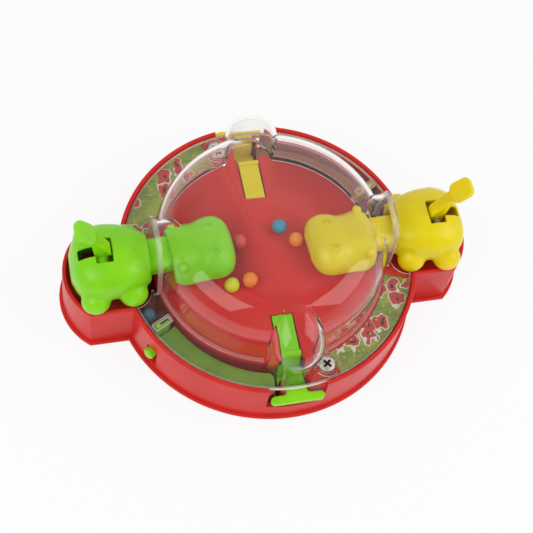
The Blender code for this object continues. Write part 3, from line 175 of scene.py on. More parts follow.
# Head
LEAN_X = 0.0720
LEAN_DEG = 3.6
HEAD_NOSE = 0.0172
HEAD_BACK = 0.0470
HEAD_BOTTOM = 0.0311
HEAD_TOP = 0.0426
HEAD_HALF_WIDTH = 0.0150
HEAD_WALL = 0.0014
HEAD_FLARE = 2.6
HEAD_SKIRT = 0.0009
HEAD_X_SHARES = (0.0, 0.035, 0.11, 0.25, 0.41, 0.56, 0.70, 0.87, 1.0)
HEAD_WIDTH_SHARES = (0.42, 0.68, 0.88, 1.0, 0.96, 0.84, 0.84, 0.95, 0.84)
HEAD_TOP_SHARES = (0.30, 0.55, 0.76, 0.91, 0.94, 0.90, 0.95, 1.0, 0.87)
HEAD_HEM_SHARES = (0.42, 0.69, 0.90, 1.02, 1.02, 1.01, 1.02, 1.02, 0.88)
HEM_DROP = 0.0012
HEM_DROP_SHARES = (0.0, 0.0, 0.0, 0.0, 0.15, 0.7, 1.0, 1.0, 0.8)
NOSTRIL = (0.0275, 0.0065)
NOSTRIL_RADIUS = 0.0023
NOSTRIL_RISE = 0.0019
NOSTRIL_HOLE = 0.0010
EAR = (0.0430, 0.0112, 0.0400)
EAR_RADIUS = 0.0024
HEAD_PIN = (0.0438, 0.0344)
HEAD_PIN_HALF = 0.0115
HEAD_LUG = (0.0084, 0.0124, 0.0024)
NECK_DOOR = (0.0088, 0.0284, 0.0402, 0.0042)

# Return spring
SPRING_RADIUS = 0.0021
SPRING_WIRE = 0.00035
SPRING_START = -0.00275
SPRING_END = -0.00600
SPRING_TURNS = 2.81
SPRING_START_DEG = 152.0
SPRING_LEVER_LEG = 0.0032
SPRING_ROOF_LEG = 0.0062

# Balls
BALL_RADIUS = 0.0035
BALL_CORE = 0.985
BALL_SEAM = (0.010, 0.00022)
BALLS = ("blue_ball", "orange_ball", "red_ball", "front_orange_ball", "yellow_ball", "tray_ball")


def linear(red, green, blue):
    """A colour given as it looks on a screen, 0 to 255, as the shader's own numbers."""
    parts = []
    for value in (red, green, blue):
        share = value / 255.0
        parts.append(share / 12.92 if share <= 0.04045 else ((share + 0.055) / 1.055) ** 2.4)
    return (*parts, 1.0)


# Fineness: points on a round, and the grids that edges are softened on
EAR_STEPS = 60
RIM_STEPS = 120
BODY_GRID = 0.00050
BODY_FINE_GRID = 0.00038
HEAD_GRID = 0.00034
HEAD_FINE_GRID = 0.00030


# Shapes

def polar(radius, degrees):
    angle = math.radians(degrees)
    return radius * math.cos(angle), radius * math.sin(angle)


def circle(radius, x=0.0, y=0.0, steps=48):
    return [(x + radius * math.cos(2 * math.pi * k / steps), y + radius * math.sin(2 * math.pi * k / steps))
            for k in range(steps)]


def link(name, bm, outward=True):
    """A new object from this bmesh, which is used up."""
    if outward:
        bmesh.ops.recalc_face_normals(bm, faces=bm.faces)
    mesh = bpy.data.meshes.new(name)
    bm.to_mesh(mesh)
    bm.free()
    obj = bpy.data.objects.new(name, mesh)
    bpy.context.scene.collection.objects.link(obj)
    return obj


def loft(rings, name="shape"):
    """A closed solid through rings of equally many points, with flat ends."""
    bm = bmesh.new()
    rows = [[bm.verts.new(point) for point in ring] for ring in rings]
    count = len(rows[0])
    for near, far in zip(rows, rows[1:]):
        for k in range(count):
            following = (k + 1) % count
            bm.faces.new((near[k], near[following], far[following], far[k]))
    bm.faces.new(reversed(rows[0]))
    bm.faces.new(rows[-1])
    return link(name, bm)


def prism(outline, bottom, top, name="shape"):
    return loft([[(x, y, z) for x, y in outline] for z in (bottom, top)], name)


def box(x_range, y_range, z_range):
    (x0, x1), (y0, y1) = x_range, y_range
    return prism([(x0, y0), (x1, y0), (x1, y1), (x0, y1)], *z_range)


def turned(profile, x=0.0, y=0.0, steps=48, name="shape"):
    """A solid of revolution about the upright line at (x, y), from (radius, z) points."""
    bm = bmesh.new()
    rings = []
    for radius, z in profile:
        if radius == 0:
            rings.append([bm.verts.new((x, y, z))])
        else:
            rings.append([bm.verts.new((px, py, z)) for px, py in circle(radius, x, y, steps)])
    for near, far in zip(rings, rings[1:]):
        for k in range(steps):
            corners = [near[k % len(near)], near[(k + 1) % len(near)]]
            corners += [far[(k + 1) % len(far)], far[k % len(far)]]
            bm.faces.new(dict.fromkeys(corners))
    for end in (rings[0], rings[-1]):
        if len(end) > 1:
            bm.faces.new(end)
    return link(name, bm)


def rod(radius, start, end, steps=32):
    start, end = Vector(start), Vector(end)
    shape = turned([(radius, 0.0), (radius, (end - start).length)], steps=steps)
    turn = Vector((0.0, 0.0, 1.0)).rotation_difference(end - start).to_matrix().to_4x4()
    shape.data.transform(Matrix.Translation(start) @ turn)
    return shape


def ellipsoid(centre, radii, steps=32):
    bm = bmesh.new()
    bmesh.ops.create_uvsphere(bm, u_segments=steps, v_segments=steps * 5 // 8, radius=1.0)
    shape = link("shape", bm)
    shape.data.transform(Matrix.Translation(centre) @ Matrix.Diagonal((*radii, 1.0)))
    return shape


def applied(obj):
    """Bakes the object's modifiers into its mesh."""
    graph = bpy.context.evaluated_depsgraph_get()
    mesh = bpy.data.meshes.new_from_object(obj.evaluated_get(graph))
    obj.modifiers.clear()
    obj.data = mesh
    return obj


def combine(target, tool, operation):
    modifier = target.modifiers.new(operation, "BOOLEAN")
    modifier.operation = operation
    modifier.solver = "EXACT"
    modifier.object = tool
    applied(target)
    bpy.data.objects.remove(tool)
    return target


def cut(target, tool):
    return combine(target, tool, "DIFFERENCE")


def join(target, tool):
    return combine(target, tool, "UNION")


def eased(places, values, at):
    """A smooth curve through a table of shares."""
    slopes = [(values[min(k + 1, len(values) - 1)] - values[max(k - 1, 0)])
              / (places[min(k + 1, len(values) - 1)] - places[max(k - 1, 0)]) for k in range(len(values))]
    for k in range(len(places) - 1):
        if at <= places[k + 1]:
            break
    step = places[k + 1] - places[k]
    t = (at - places[k]) / step
    near = (1 + 2 * t) * (1 - t) ** 2 * values[k] + t * (1 - t) ** 2 * step * slopes[k]
    return near + t * t * (3 - 2 * t) * values[k + 1] - t * t * (1 - t) * step * slopes[k + 1]


def rounded_ring(x, half, bottom, top, flare, steps):
    """A closed rounded ring in the plane of x."""
    middle, tall = (top + bottom) / 2, (top - bottom) / 2
    points = []
    for k in range(steps):
        y, z = polar(1.0, 360.0 * (k + 0.5) / steps)
        y = math.copysign(abs(y) ** (2 / flare), y)
        z = math.copysign(abs(z) ** (2 / flare), z)
        points.append((x, half * y, middle + tall * z))
    return points


def plan_outline(offset):
    """The base seen from above, grown outward by the offset."""
    radius, half = RIM_RADIUS + offset, EAR_HALF_WIDTH + offset
    ear_radius = EAR_ARC_RADIUS + offset
    circle_start = math.degrees(math.asin(half / radius))
    ear_end = math.degrees(math.asin(half / ear_radius))
    points = []
    for k in range(EAR_STEPS + 1):
        x, y = polar(ear_radius, -ear_end + 2 * ear_end * k / EAR_STEPS)
        points.append((EAR_ARC_X + x, y))
    for k in range(RIM_STEPS + 1):
        points.append(polar(radius, circle_start + (180.0 - 2 * circle_start) * k / RIM_STEPS))
    return points + [(-x, -y) for x, y in points]


def outline_ring(profile, name):
    """A closed band round the base, from a closed list of (offset, z) points."""
    bm = bmesh.new()
    rows = [[bm.verts.new((x, y, z)) for x, y in plan_outline(offset)] for offset, z in profile]
    count = len(rows[0])
    for near, far in zip(rows, rows[1:] + rows[:1]):
        for k in range(count):
            following = (k + 1) % count
            bm.faces.new((near[k], near[following], far[following], far[k]))
    return link(name, bm)


def quarter(offset, z, radius, first, steps=6):
    """Points of a quarter round about (offset, z), from the first angle on to a right angle less."""
    turns = [polar(radius, first - 90.0 * k / steps) for k in range(steps + 1)]
    return [(offset + x, z + y) for x, y in turns]


def turn_about_z(shape, degrees):
    shape.data.transform(Matrix.Rotation(math.radians(degrees), 4, "Z"))
    return shape


def both_sides(target, action, make):
    for degrees in SIDES.values():
        action(target, turn_about_z(make(), degrees))


def moulded(obj, voxel, rounds, factor=0.5):
    """Turns sharp edges into the soft ones of a moulding: an even fine mesh, then relaxed."""
    remesh = obj.modifiers.new("even", "REMESH")
    remesh.mode = "VOXEL"
    remesh.voxel_size = voxel
    remesh.use_smooth_shade = True
    relax = obj.modifiers.new("relax", "SMOOTH")
    relax.factor = factor
    relax.iterations = rounds
    return applied(obj)


def copy_of(node, name):
    """A piece of the builder's own with the same shape as a node, its doubles merged."""
    bm = bmesh.new()
    bm.from_mesh(nodes[node].data)
    bmesh.ops.remove_doubles(bm, verts=bm.verts, dist=0.000001)
    return link(name, bm, outward=False)


def shaded(obj, degrees=35.0):
    obj.data.shade_smooth()
    obj.data.set_sharp_from_angle(angle=math.radians(degrees))
    return obj


def place(obj, name, body, slot, finish, *replaced):
    """Names a finished piece, gives it its material and hands it to the frame."""
    obj.name = obj.data.name = name
    obj.data.materials.clear()
    obj.data.materials.append(finish)
    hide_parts(*replaced)
    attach(obj, body)
    return obj


# Finishes

def shader_group(name, inputs, outputs):
    """An empty shader node group with named sockets, and its two end nodes."""
    tree = bpy.data.node_groups.new(name, "ShaderNodeTree")
    for label, kind, value in inputs:
        socket = tree.interface.new_socket(label, in_out="INPUT", socket_type="NodeSocket" + kind)
        socket.default_value = value
    for label, kind in outputs:
        tree.interface.new_socket(label, in_out="OUTPUT", socket_type="NodeSocket" + kind)
    return tree, tree.nodes.new("NodeGroupInput"), tree.nodes.new("NodeGroupOutput")


class Sheet:
    """Places nodes in one tree and joins them up."""

    def __init__(self, tree, family="ShaderNode"):
        self.tree = tree
        self.family = family

    def node(self, kind, inputs=None, **settings):
        made = self.tree.nodes.new(kind if "Node" in kind else self.family + kind)
        for key, value in settings.items():
            setattr(made, key, value)
        self.fill(made, inputs or {})
        return made

    def fill(self, made, inputs):
        for key, value in inputs.items():
            self.feed(made.inputs[key], value)

    def feed(self, socket, value):
        if isinstance(value, bpy.types.NodeSocket):
            self.tree.links.new(value, socket)
        else:
            socket.default_value = value

    def maths(self, operation, a, b=0.0, c=0.0):
        return self.node("Math", {0: a, 1: b, 2: c}, operation=operation).outputs[0]

    def clamped(self, value, low, high):
        made = self.node("MapRange", {"Value": value, "From Min": low, "From Max": high})
        made.interpolation_type = "SMOOTHSTEP"
        return made.outputs["Result"]

    def blend(self, share, a, b):
        made = self.node("Mix", data_type="RGBA")
        self.fill(made, {"Factor": share, "A": a, "B": b})
        return made.outputs["Result"]

    def noise(self, scale, detail=3.0, roughness=0.5, coordinates=None):
        made = self.node("TexNoise", {"Scale": scale, "Detail": detail, "Roughness": roughness})
        self.feed(made.inputs["Vector"], coordinates or self.node("TexCoord").outputs["Object"])
        return made.outputs["Fac"]

    def group(self, tree, inputs):
        return self.node("Group", inputs, node_tree=tree).outputs


def moulded_plastic_group():
    """Soft cloudy shade and fine grain of an injection moulding."""
    tree, given, result = shader_group(
        "moulded_plastic",
        [("Colour", "Color", (0.8, 0.8, 0.8, 1.0)), ("Shade", "Color", (0.7, 0.7, 0.7, 1.0)),
         ("Cloud Scale", "Float", 60.0), ("Grain Scale", "Float", 2200.0),
         ("Roughness", "Float", 0.3), ("Roughness Spread", "Float", 0.08)],
        [("Colour", "Color"), ("Roughness", "Float"), ("Height", "Float")])
    sheet = Sheet(tree)
    clouds = sheet.noise(given.outputs["Cloud Scale"], 4.0)
    grain = sheet.noise(given.outputs["Grain Scale"], 2.0)
    soft = sheet.clamped(clouds, 0.35, 0.7)
    spread = sheet.maths("MULTIPLY", sheet.maths("SUBTRACT", clouds, 0.5), given.outputs["Roughness Spread"])
    sheet.fill(result, {
        "Colour": sheet.blend(soft, given.outputs["Colour"], given.outputs["Shade"]),
        "Roughness": sheet.maths("ADD", given.outputs["Roughness"], spread),
        "Height": sheet.maths("ADD", grain, sheet.maths("MULTIPLY", clouds, 2.0))})
    return tree


def edge_wear_and_sheen_group():
    """Paler edges, from how far the surface turns outward: rubbed wear, and on the red moulding also a
    painted highlight.
    """
    tree, given, result = shader_group(
        "edge_wear_and_sheen",
        [("Colour", "Color", (0.8, 0.8, 0.8, 1.0)), ("Edge Colour", "Color", (1.0, 1.0, 1.0, 1.0)),
         ("Start", "Float", 0.52), ("End", "Float", 0.60), ("Amount", "Float", 0.5)],
        [("Colour", "Color"), ("Mask", "Float")])
    sheet = Sheet(tree)
    turned_out = sheet.node("NewGeometry").outputs["Pointiness"]
    edge = sheet.clamped(turned_out, given.outputs["Start"], given.outputs["End"])
    broken = sheet.clamped(sheet.noise(300.0, 3.0), 0.2, 0.55)
    mask = sheet.maths("MULTIPLY", sheet.maths("MULTIPLY", edge, broken), given.outputs["Amount"])
    tone = sheet.blend(mask, given.outputs["Colour"], given.outputs["Edge Colour"])
    sheet.fill(result, {"Colour": tone, "Mask": mask})
    return tree


def settled_dust_group():
    """Thin dust that lies on what faces up."""
    tree, given, result = shader_group(
        "settled_dust",
        [("Colour", "Color", (0.8, 0.8, 0.8, 1.0)), ("Roughness", "Float", 0.3), ("Amount", "Float", 0.1),
         ("Scale", "Float", 700.0)],
        [("Colour", "Color"), ("Roughness", "Float"), ("Mask", "Float")])
    sheet = Sheet(tree)
    upward = sheet.node("SeparateXYZ", {0: sheet.node("NewGeometry").outputs["Normal"]}).outputs["Z"]
    lies = sheet.clamped(upward, 0.3, 0.95)
    specks = sheet.clamped(sheet.noise(given.outputs["Scale"], 5.0, 0.7), 0.55, 0.72)
    film = sheet.clamped(sheet.noise(45.0, 3.0), 0.3, 0.8)
    share = sheet.maths("MULTIPLY", lies, sheet.maths("ADD", specks, sheet.maths("MULTIPLY", film, 0.35)))
    mask = sheet.maths("MULTIPLY", share, given.outputs["Amount"])
    rougher = sheet.maths("MULTIPLY", mask, 0.5)
    sheet.fill(result, {
        "Colour": sheet.blend(mask, given.outputs["Colour"], linear(205, 196, 186)),
        "Roughness": sheet.maths("ADD", given.outputs["Roughness"], rougher), "Mask": mask})
    return tree


def painted_channel_shade_group():
    """Painted shade in the deep ball channels: the colour darkens from the deck down, between the inner and
    outer channel wall.
    """
    tree, given, result = shader_group(
        "painted_channel_shade",
        [("Colour", "Color", (0.8, 0.8, 0.8, 1.0)), ("Painted Shade Colour", "Color", (0.2, 0.2, 0.2, 1.0)),
         ("Top", "Float", 0.0241), ("Bottom", "Float", 0.0195), ("Inner", "Float", 0.0542),
         ("Outer", "Float", 0.0683)],
        [("Colour", "Color"), ("Mask", "Float")])
    sheet = Sheet(tree)
    place = sheet.node("SeparateXYZ", {0: sheet.node("TexCoord").outputs["Object"]})
    deep = sheet.clamped(place.outputs["Z"], given.outputs["Top"], given.outputs["Bottom"])
    x_part = sheet.maths("MULTIPLY", place.outputs["X"], place.outputs["X"])
    out = sheet.maths("SQRT", sheet.maths("MULTIPLY_ADD", place.outputs["Y"], place.outputs["Y"], x_part))
    within = sheet.maths("MULTIPLY", sheet.maths("GREATER_THAN", out, given.outputs["Inner"]),
                         sheet.maths("LESS_THAN", out, given.outputs["Outer"]))
    mask = sheet.maths("MULTIPLY", deep, within)
    tone = sheet.blend(mask, given.outputs["Colour"], given.outputs["Painted Shade Colour"])
    sheet.fill(result, {"Colour": tone, "Mask": mask})
    return tree


MOULDED = moulded_plastic_group()
WORN_AND_SHEEN = edge_wear_and_sheen_group()
DUSTY = settled_dust_group()
PAINTED_CHANNEL_SHADE = painted_channel_shade_group()


def new_finish(name):
    made = bpy.data.materials.new(name)
    made.use_nodes = True
    shader = made.node_tree.nodes["Principled BSDF"]
    return made, Sheet(made.node_tree), shader


def plastic(name, colour, shade, edge=None, roughness=0.28, spread=0.08, cloud=60.0, grain=2200.0,
            bump=0.02, wear_and_sheen=0.0, dust=0.06, glow=0.0, gloss=0.5, painted_depth_shade=None):
    """A moulded plastic with its clouding, grain, paler edges that are rubbed wear and a painted highlight, a
    little dust, and where given a painted shade in the deep ball channels.
    """
    made, sheet, shader = new_finish(name)
    base = sheet.group(MOULDED, {"Colour": colour, "Shade": shade, "Cloud Scale": cloud, "Grain Scale": grain,
                                 "Roughness": roughness, "Roughness Spread": spread})
    edge_toned = sheet.group(WORN_AND_SHEEN, {"Colour": base["Colour"], "Edge Colour": edge or colour, "Amount": wear_and_sheen})
    tone = edge_toned["Colour"]
    # painted shade: the colour darkens down in the deep ball channels
    if painted_depth_shade:
        tone = sheet.group(PAINTED_CHANNEL_SHADE, {"Colour": tone, "Painted Shade Colour": painted_depth_shade})["Colour"]
    dusty = sheet.group(DUSTY, {"Colour": tone, "Roughness": base["Roughness"], "Amount": dust})
    relief = sheet.node("Bump", {"Strength": bump, "Distance": 0.0002, "Height": base["Height"]})
    sheet.fill(shader, {"Base Color": dusty["Colour"], "Roughness": dusty["Roughness"],
                        "Normal": relief.outputs[0], "IOR": 1.49, "Specular IOR Level": gloss})
    if glow:
        radius = [max(part, 0.05) for part in colour[:3]]
        sheet.fill(shader, {"Subsurface Weight": glow, "Subsurface Radius": radius,
                            "Subsurface Scale": 0.004})
    return made


def clear_plastic(name, tint, roughness):
    """Clear moulding that lets the lamps through to what it covers."""
    made, sheet, shader = new_finish(name)
    smudges = sheet.clamped(sheet.noise(38.0, 4.0), 0.45, 0.8)
    ripple = sheet.node("Bump", {"Strength": 0.05, "Distance": 0.0005, "Height": sheet.noise(55.0, 2.0)})
    sheet.fill(shader, {"Base Color": tint, "Transmission Weight": 1.0, "IOR": 1.42,
                        "Roughness": sheet.maths("MULTIPLY_ADD", smudges, 0.05, roughness),
                        "Normal": ripple.outputs[0]})
    through = sheet.node("BsdfTransparent", {"Color": (0.94, 0.94, 0.93, 1.0)})
    path = sheet.node("LightPath")
    inner = {0: path.outputs["Is Shadow Ray"], 1: shader.outputs[0], 2: through.outputs[0]}
    shadow = sheet.node("MixShader", inner)
    outer = {0: path.outputs["Is Diffuse Ray"], 1: shadow.outputs[0], 2: through.outputs[0]}
    soft = sheet.node("MixShader", outer)
    output = made.node_tree.nodes["Material Output"]
    made.node_tree.links.new(soft.outputs[0], output.inputs["Surface"])
    return made


def milky(name, near, far, through, roughness):
    """Edges and beads of the clear cover, which gather light and look creamy white."""
    made, sheet, shader = new_finish(name)
    streaks = sheet.noise(400.0, 3.0)
    tone = sheet.blend(sheet.clamped(streaks, 0.3, 0.7), near, far)
    sheet.fill(shader, {"Base Color": tone, "Transmission Weight": through, "IOR": 1.42,
                        "Roughness": sheet.maths("MULTIPLY_ADD", streaks, 0.15, roughness)})
    return made


def zinc():
    """Dull zinc plating with fine turning marks and paler rubbed edges."""
    made, sheet, shader = new_finish("zinc")
    spots = sheet.noise(900.0, 4.0, 0.6)
    tone = sheet.blend(sheet.clamped(spots, 0.35, 0.65), linear(226, 220, 210), linear(190, 184, 174))
    edge_toned = sheet.group(WORN_AND_SHEEN, {"Colour": tone, "Edge Colour": linear(225, 222, 216), "Amount": 0.3})
    relief = sheet.node("Bump", {"Strength": 0.08, "Distance": 0.0001, "Height": spots})
    sheet.fill(shader, {"Base Color": edge_toned["Colour"], "Normal": relief.outputs[0], "Metallic": 0.65,
                        "Roughness": sheet.maths("MULTIPLY_ADD", spots, 0.2, 0.28)})
    return made


def recess_painted_shade():
    """The cross recess of a screw: painted shade, nearly black, with a little dirt."""
    made, sheet, shader = new_finish("recess_painted_shade")
    dirt = sheet.noise(1200.0, 3.0)
    sheet.fill(shader, {"Base Color": sheet.blend(dirt, linear(20, 18, 18), linear(44, 40, 38)),
                        "Roughness": sheet.maths("MULTIPLY_ADD", dirt, 0.2, 0.6)})
    return made


def printed_label():
    """Coated card: olive ground with soft ripples, red white-edged blossoms and yellow flecks."""
    made, sheet, shader = new_finish("printed_label")
    where = sheet.node("TexCoord").outputs["Object"]
    bend = sheet.node("TexNoise", {"Vector": where, "Scale": 260.0, "Detail": 1.0}).outputs["Color"]
    bent = sheet.node("VectorMath", {0: bend, 1: (0.5, 0.5, 0.5)}, operation="SUBTRACT").outputs[0]
    shift = {0: bent, 1: (0.007, 0.007, 0.0), 2: where}
    bent = sheet.node("VectorMath", shift, operation="MULTIPLY_ADD").outputs[0]
    patches = sheet.clamped(sheet.noise(120.0, 3.0, coordinates=where), 0.35, 0.65)
    ground = sheet.blend(patches, linear(164, 172, 58), linear(116, 138, 52))
    ripples = sheet.node("TexWave", {"Vector": where, "Scale": 90.0, "Distortion": 6.0, "Detail": 2.0})
    ripples.wave_type = "RINGS"
    ground = sheet.blend(sheet.maths("MULTIPLY", sheet.clamped(ripples.outputs["Fac"], 0.75, 0.95), 0.45),
                         ground, linear(160, 165, 80))

    def spots(scale, spread, coordinates):
        cells = sheet.node("TexVoronoi", {"Vector": coordinates, "Scale": scale, "Randomness": spread})
        cells.voronoi_dimensions = "2D"
        chance = sheet.node("SeparateColor", {0: cells.outputs["Color"]}).outputs[0]
        return cells.outputs["Distance"], chance

    def inside(distance, radius):
        return sheet.clamped(distance, radius + 0.015, radius - 0.015)

    far, chance = spots(112.0, 0.75, bent)
    kept = sheet.maths("LESS_THAN", chance, 0.60)
    white = sheet.maths("MULTIPLY", inside(far, 0.44), kept)
    red = sheet.maths("MULTIPLY", inside(far, 0.36), kept)
    dark = sheet.maths("MULTIPLY", inside(far, 0.12), kept)
    tone = sheet.blend(white, ground, linear(224, 218, 206))
    tone = sheet.blend(red, tone, linear(196, 54, 50))
    tone = sheet.blend(dark, tone, linear(58, 34, 38))
    fleck, luck = spots(420.0, 1.0, where)
    yellow = sheet.maths("MULTIPLY", inside(fleck, 0.22), sheet.maths("LESS_THAN", luck, 0.22))
    tone = sheet.blend(yellow, tone, linear(206, 176, 60))
    paper = sheet.noise(1500.0, 2.0)
    relief = sheet.node("Bump", {"Strength": 0.04, "Distance": 0.0001, "Height": paper})
    sheet.fill(shader, {"Base Color": tone, "Normal": relief.outputs[0],
                        "Roughness": sheet.maths("MULTIPLY_ADD", paper, 0.15, 0.32)})
    return made


LABEL = printed_label()
# Red moulding: its paler edges are rubbed wear and a painted highlight, and its depth colour is painted shade
# that darkens the ball channels.
RED = plastic("red_moulding", linear(220, 47, 43), linear(211, 42, 39), linear(240, 66, 52), roughness=0.30,
              wear_and_sheen=0.5, dust=0.03, gloss=0.15, painted_depth_shade=linear(128, 22, 28))
GREEN = plastic("green_moulding", linear(146, 226, 14), linear(134, 218, 8), linear(176, 238, 50),
                roughness=0.24, glow=0.45, dust=0.02, gloss=0.4)
YELLOW = plastic("yellow_moulding", linear(242, 220, 0), linear(234, 208, 0), linear(248, 232, 50),
                 roughness=0.24, glow=0.45, dust=0.02, gloss=0.4)
RAMP = plastic("ramp_moulding", linear(146, 196, 64), linear(128, 176, 56), linear(160, 198, 90),
               roughness=0.45, gloss=0.3)
FAR_RAMP = plastic("far_ramp_moulding", linear(190, 132, 88), linear(176, 116, 80), linear(204, 150, 110),
                   roughness=0.45, gloss=0.3)
BALL_TONES = {
    "blue": ((68, 154, 190), (58, 142, 178)),
    # The tray ball is the blue ball darkened in colour: painted shade for the shadow it lies in.
    "tray": ((56, 100, 128), (48, 90, 116)),
    "orange": ((255, 150, 34), (250, 138, 26)),
    "red": ((232, 80, 72), (222, 70, 64)),
    "yellow": ((224, 224, 36), (214, 214, 28)),
}
BALL_FINISH = {
    name: plastic(f"{name}_ball_moulding", linear(*tone), linear(*shade), roughness=0.38, dust=0.02)
    for name, (tone, shade) in BALL_TONES.items()}
CLEAR = clear_plastic("clear_moulding", (0.985, 0.985, 0.975, 1.0), 0.012)
CLEAR_EDGE = milky("clear_edge", linear(255, 250, 242), linear(244, 232, 222), 0.0, 0.25)
MILKY = milky("milky_bead", linear(255, 253, 248), linear(252, 244, 236), 0.85, 0.10)
ZINC = zinc()
RECESS_PAINTED_SHADE = recess_painted_shade()
SIDE_FINISH = {"yellow": YELLOW, "green": GREEN}


# Clear cover

def dome_profile(radius, top, shoulder, bottom, steps=16):
    points = [(0.0, bottom), (radius + DOME_DRAFT, bottom)]
    for k in range(steps + 1):
        x, z = polar(shoulder, 90.0 * k / steps)
        points.append((radius - shoulder + x, top - shoulder + z))
    flat = radius - shoulder
    for share in (0.75, 0.5, 0.25):
        points.append((flat * share, top + DOME_CROWN * (1 - share * share)))
    return points + [(0.0, top + DOME_CROWN)]


def vault_ring(out, half, spring, top, bottom, steps):
    """An upside-down U across the way out, straight up to the spring height and vaulted above."""
    points = [(out, half, bottom)]
    for k in range(steps + 1):
        side, rise = polar(1.0, 180.0 * k / steps)
        side = math.copysign(abs(side) ** VAULT_CORNER_SHARE, side)
        points.append((out, half * side, spring + (top - spring) * max(rise, 0.0) ** VAULT_CORNER_SHARE))
    points.append((out, -half, bottom))
    return points


def flared_tunnel(end, inset, bottom, steps):
    """The arch over the neck; its last stretch opens like a trumpet."""
    half, top = ARCH_HALF_WIDTH - inset, ARCH_TOP - inset
    rings = [vault_ring(ARCH_INNER_END, half, ARCH_SPRING, top, bottom, steps)]
    for k in range(9):
        share = k / 8
        out = ARCH_OUTER_END - ARCH_FLARE_LENGTH * (1 - share)
        grow = ARCH_FLARE * share * share
        rings.append(vault_ring(out, half + grow, ARCH_SPRING, top + grow, bottom, steps))
    if end > ARCH_OUTER_END:
        grow = ARCH_FLARE * 1.6
        rings.append(vault_ring(end, half + grow, ARCH_SPRING, top + grow, bottom, steps))
    return loft(rings)


def hood(inset, bottom, steps, end_steps):
    """The half-open vault over a launcher: it runs out from under the crown, falls and closes in a round."""
    radius, top = HOOD_RADIUS - inset, HOOD_TOP - inset
    fall = HOOD_OUT + radius - HOOD_FALL_START

    def ring(out, half):
        share = max(out - HOOD_FALL_START, 0.0) / fall
        height = (top - HOOD_SPRING) * math.sqrt(1.0 - share * share)
        return vault_ring(out, half, HOOD_SPRING, HOOD_SPRING + height, bottom, steps)

    rings = [ring(HOOD_INNER_END, radius)]
    for k in range(9):
        rings.append(ring(HOOD_FALL_START + (HOOD_OUT - HOOD_FALL_START) * k / 8, radius))
    for k in range(1, end_steps):
        half, out = polar(radius, 90.0 * k / end_steps)
        rings.append(ring(HOOD_OUT + out, half))
    return turn_about_z(loft(rings), 90.0)


def make_clear_cover():
    cover = prism(circle(FLANGE_RADIUS, steps=180), FLANGE_BOTTOM, FLANGE_TOP, "clear_cover_fine")
    above = (FLANGE_BOTTOM + FLANGE_TOP) / 2
    wide, bead_top = EDGE_BEAD
    bead = prism(circle(FLANGE_RADIUS - GAP / 6, steps=172), above, bead_top)
    cut(bead, prism(circle(FLANGE_RADIUS - wide, steps=164), above - OVERRUN, bead_top + OVERRUN))
    join(cover, bead)
    x, y, radius = FEET_CUT
    for sign in (-1, 1):
        both_sides(cover, cut, lambda: prism(
            circle(radius, x, sign * y, 64), FLANGE_BOTTOM - OVERRUN, bead_top + OVERRUN))
    start, half = NECK_CUT
    both_sides(cover, cut, lambda: box(
        (start, FLANGE_RADIUS + OVERRUN), (-half, half), (FLANGE_BOTTOM - OVERRUN, bead_top + OVERRUN)))

    wide, tall = FOOT_BEAD
    foot = DOME_RADIUS + DOME_DRAFT
    profile = [(foot - OVERRUN, above), (foot + wide, above), (foot + wide, FLANGE_TOP + tall / 3)]
    profile += [(foot + wide / 2, FLANGE_TOP + 0.85 * tall), (foot - OVERRUN, FLANGE_TOP + tall)]
    join(cover, turned(profile, steps=156))
    join(cover, turned(dome_profile(DOME_RADIUS, DOME_TOP, DOME_SHOULDER, above), steps=160))
    both_sides(cover, join, lambda: hood(0.0, above, 40, 26))
    both_sides(cover, join, lambda: flared_tunnel(ARCH_OUTER_END, 0.0, above, 40))

    def pocket(inset, top, low):
        inner, outer, half, _ = POCKET
        shape = box((inner + inset, outer - inset), (inset - half, half - inset), (low, top))
        return turn_about_z(shape, GATE_DEG)

    collar_top = FLANGE_TOP + COLLAR_HEIGHT
    both_sides(cover, join, lambda: pocket(0.0, POCKET[3], above))
    both_sides(cover, join, lambda: turned(
        [(COLLAR_RADIUS, above), (COLLAR_RADIUS, collar_top)], *COVER_SCREW, 56))

    under = FLANGE_BOTTOM - OVERRUN
    shoulder, inner_top = DOME_SHOULDER - COVER_WALL, DOME_TOP - COVER_WALL
    cut(cover, turned(dome_profile(DOME_RADIUS - COVER_WALL, inner_top, shoulder, under, 15), steps=152))
    both_sides(cover, cut, lambda: hood(COVER_WALL, under, 38, 25))
    both_sides(cover, cut, lambda: flared_tunnel(ARCH_OUTER_END + OVERRUN, COVER_WALL, under, 38))
    both_sides(cover, cut, lambda: pocket(POCKET_WALL, POCKET[3] - 2 * POCKET_WALL, under))
    both_sides(cover, cut, lambda: turned(
        [(COLLAR_RADIUS - COLLAR_WALL, FLANGE_TOP), (COLLAR_RADIUS - COLLAR_WALL, collar_top + OVERRUN)],
        *COVER_SCREW, 52))
    both_sides(cover, cut, lambda: turned([(COVER_SCREW_HOLE, under), (COVER_SCREW_HOLE, collar_top)],
                                          *COVER_SCREW, 32))
    shaded(cover, 28.0)
    place(cover, "clear_cover_fine", "base", "clear_shell", CLEAR, "clear_cover")
    cover.data.materials.append(CLEAR_EDGE)
    cover.data.materials.append(MILKY)
    for face in cover.data.polygons:
        face.material_index = cover_zone(face.center, face.normal)
    return cover


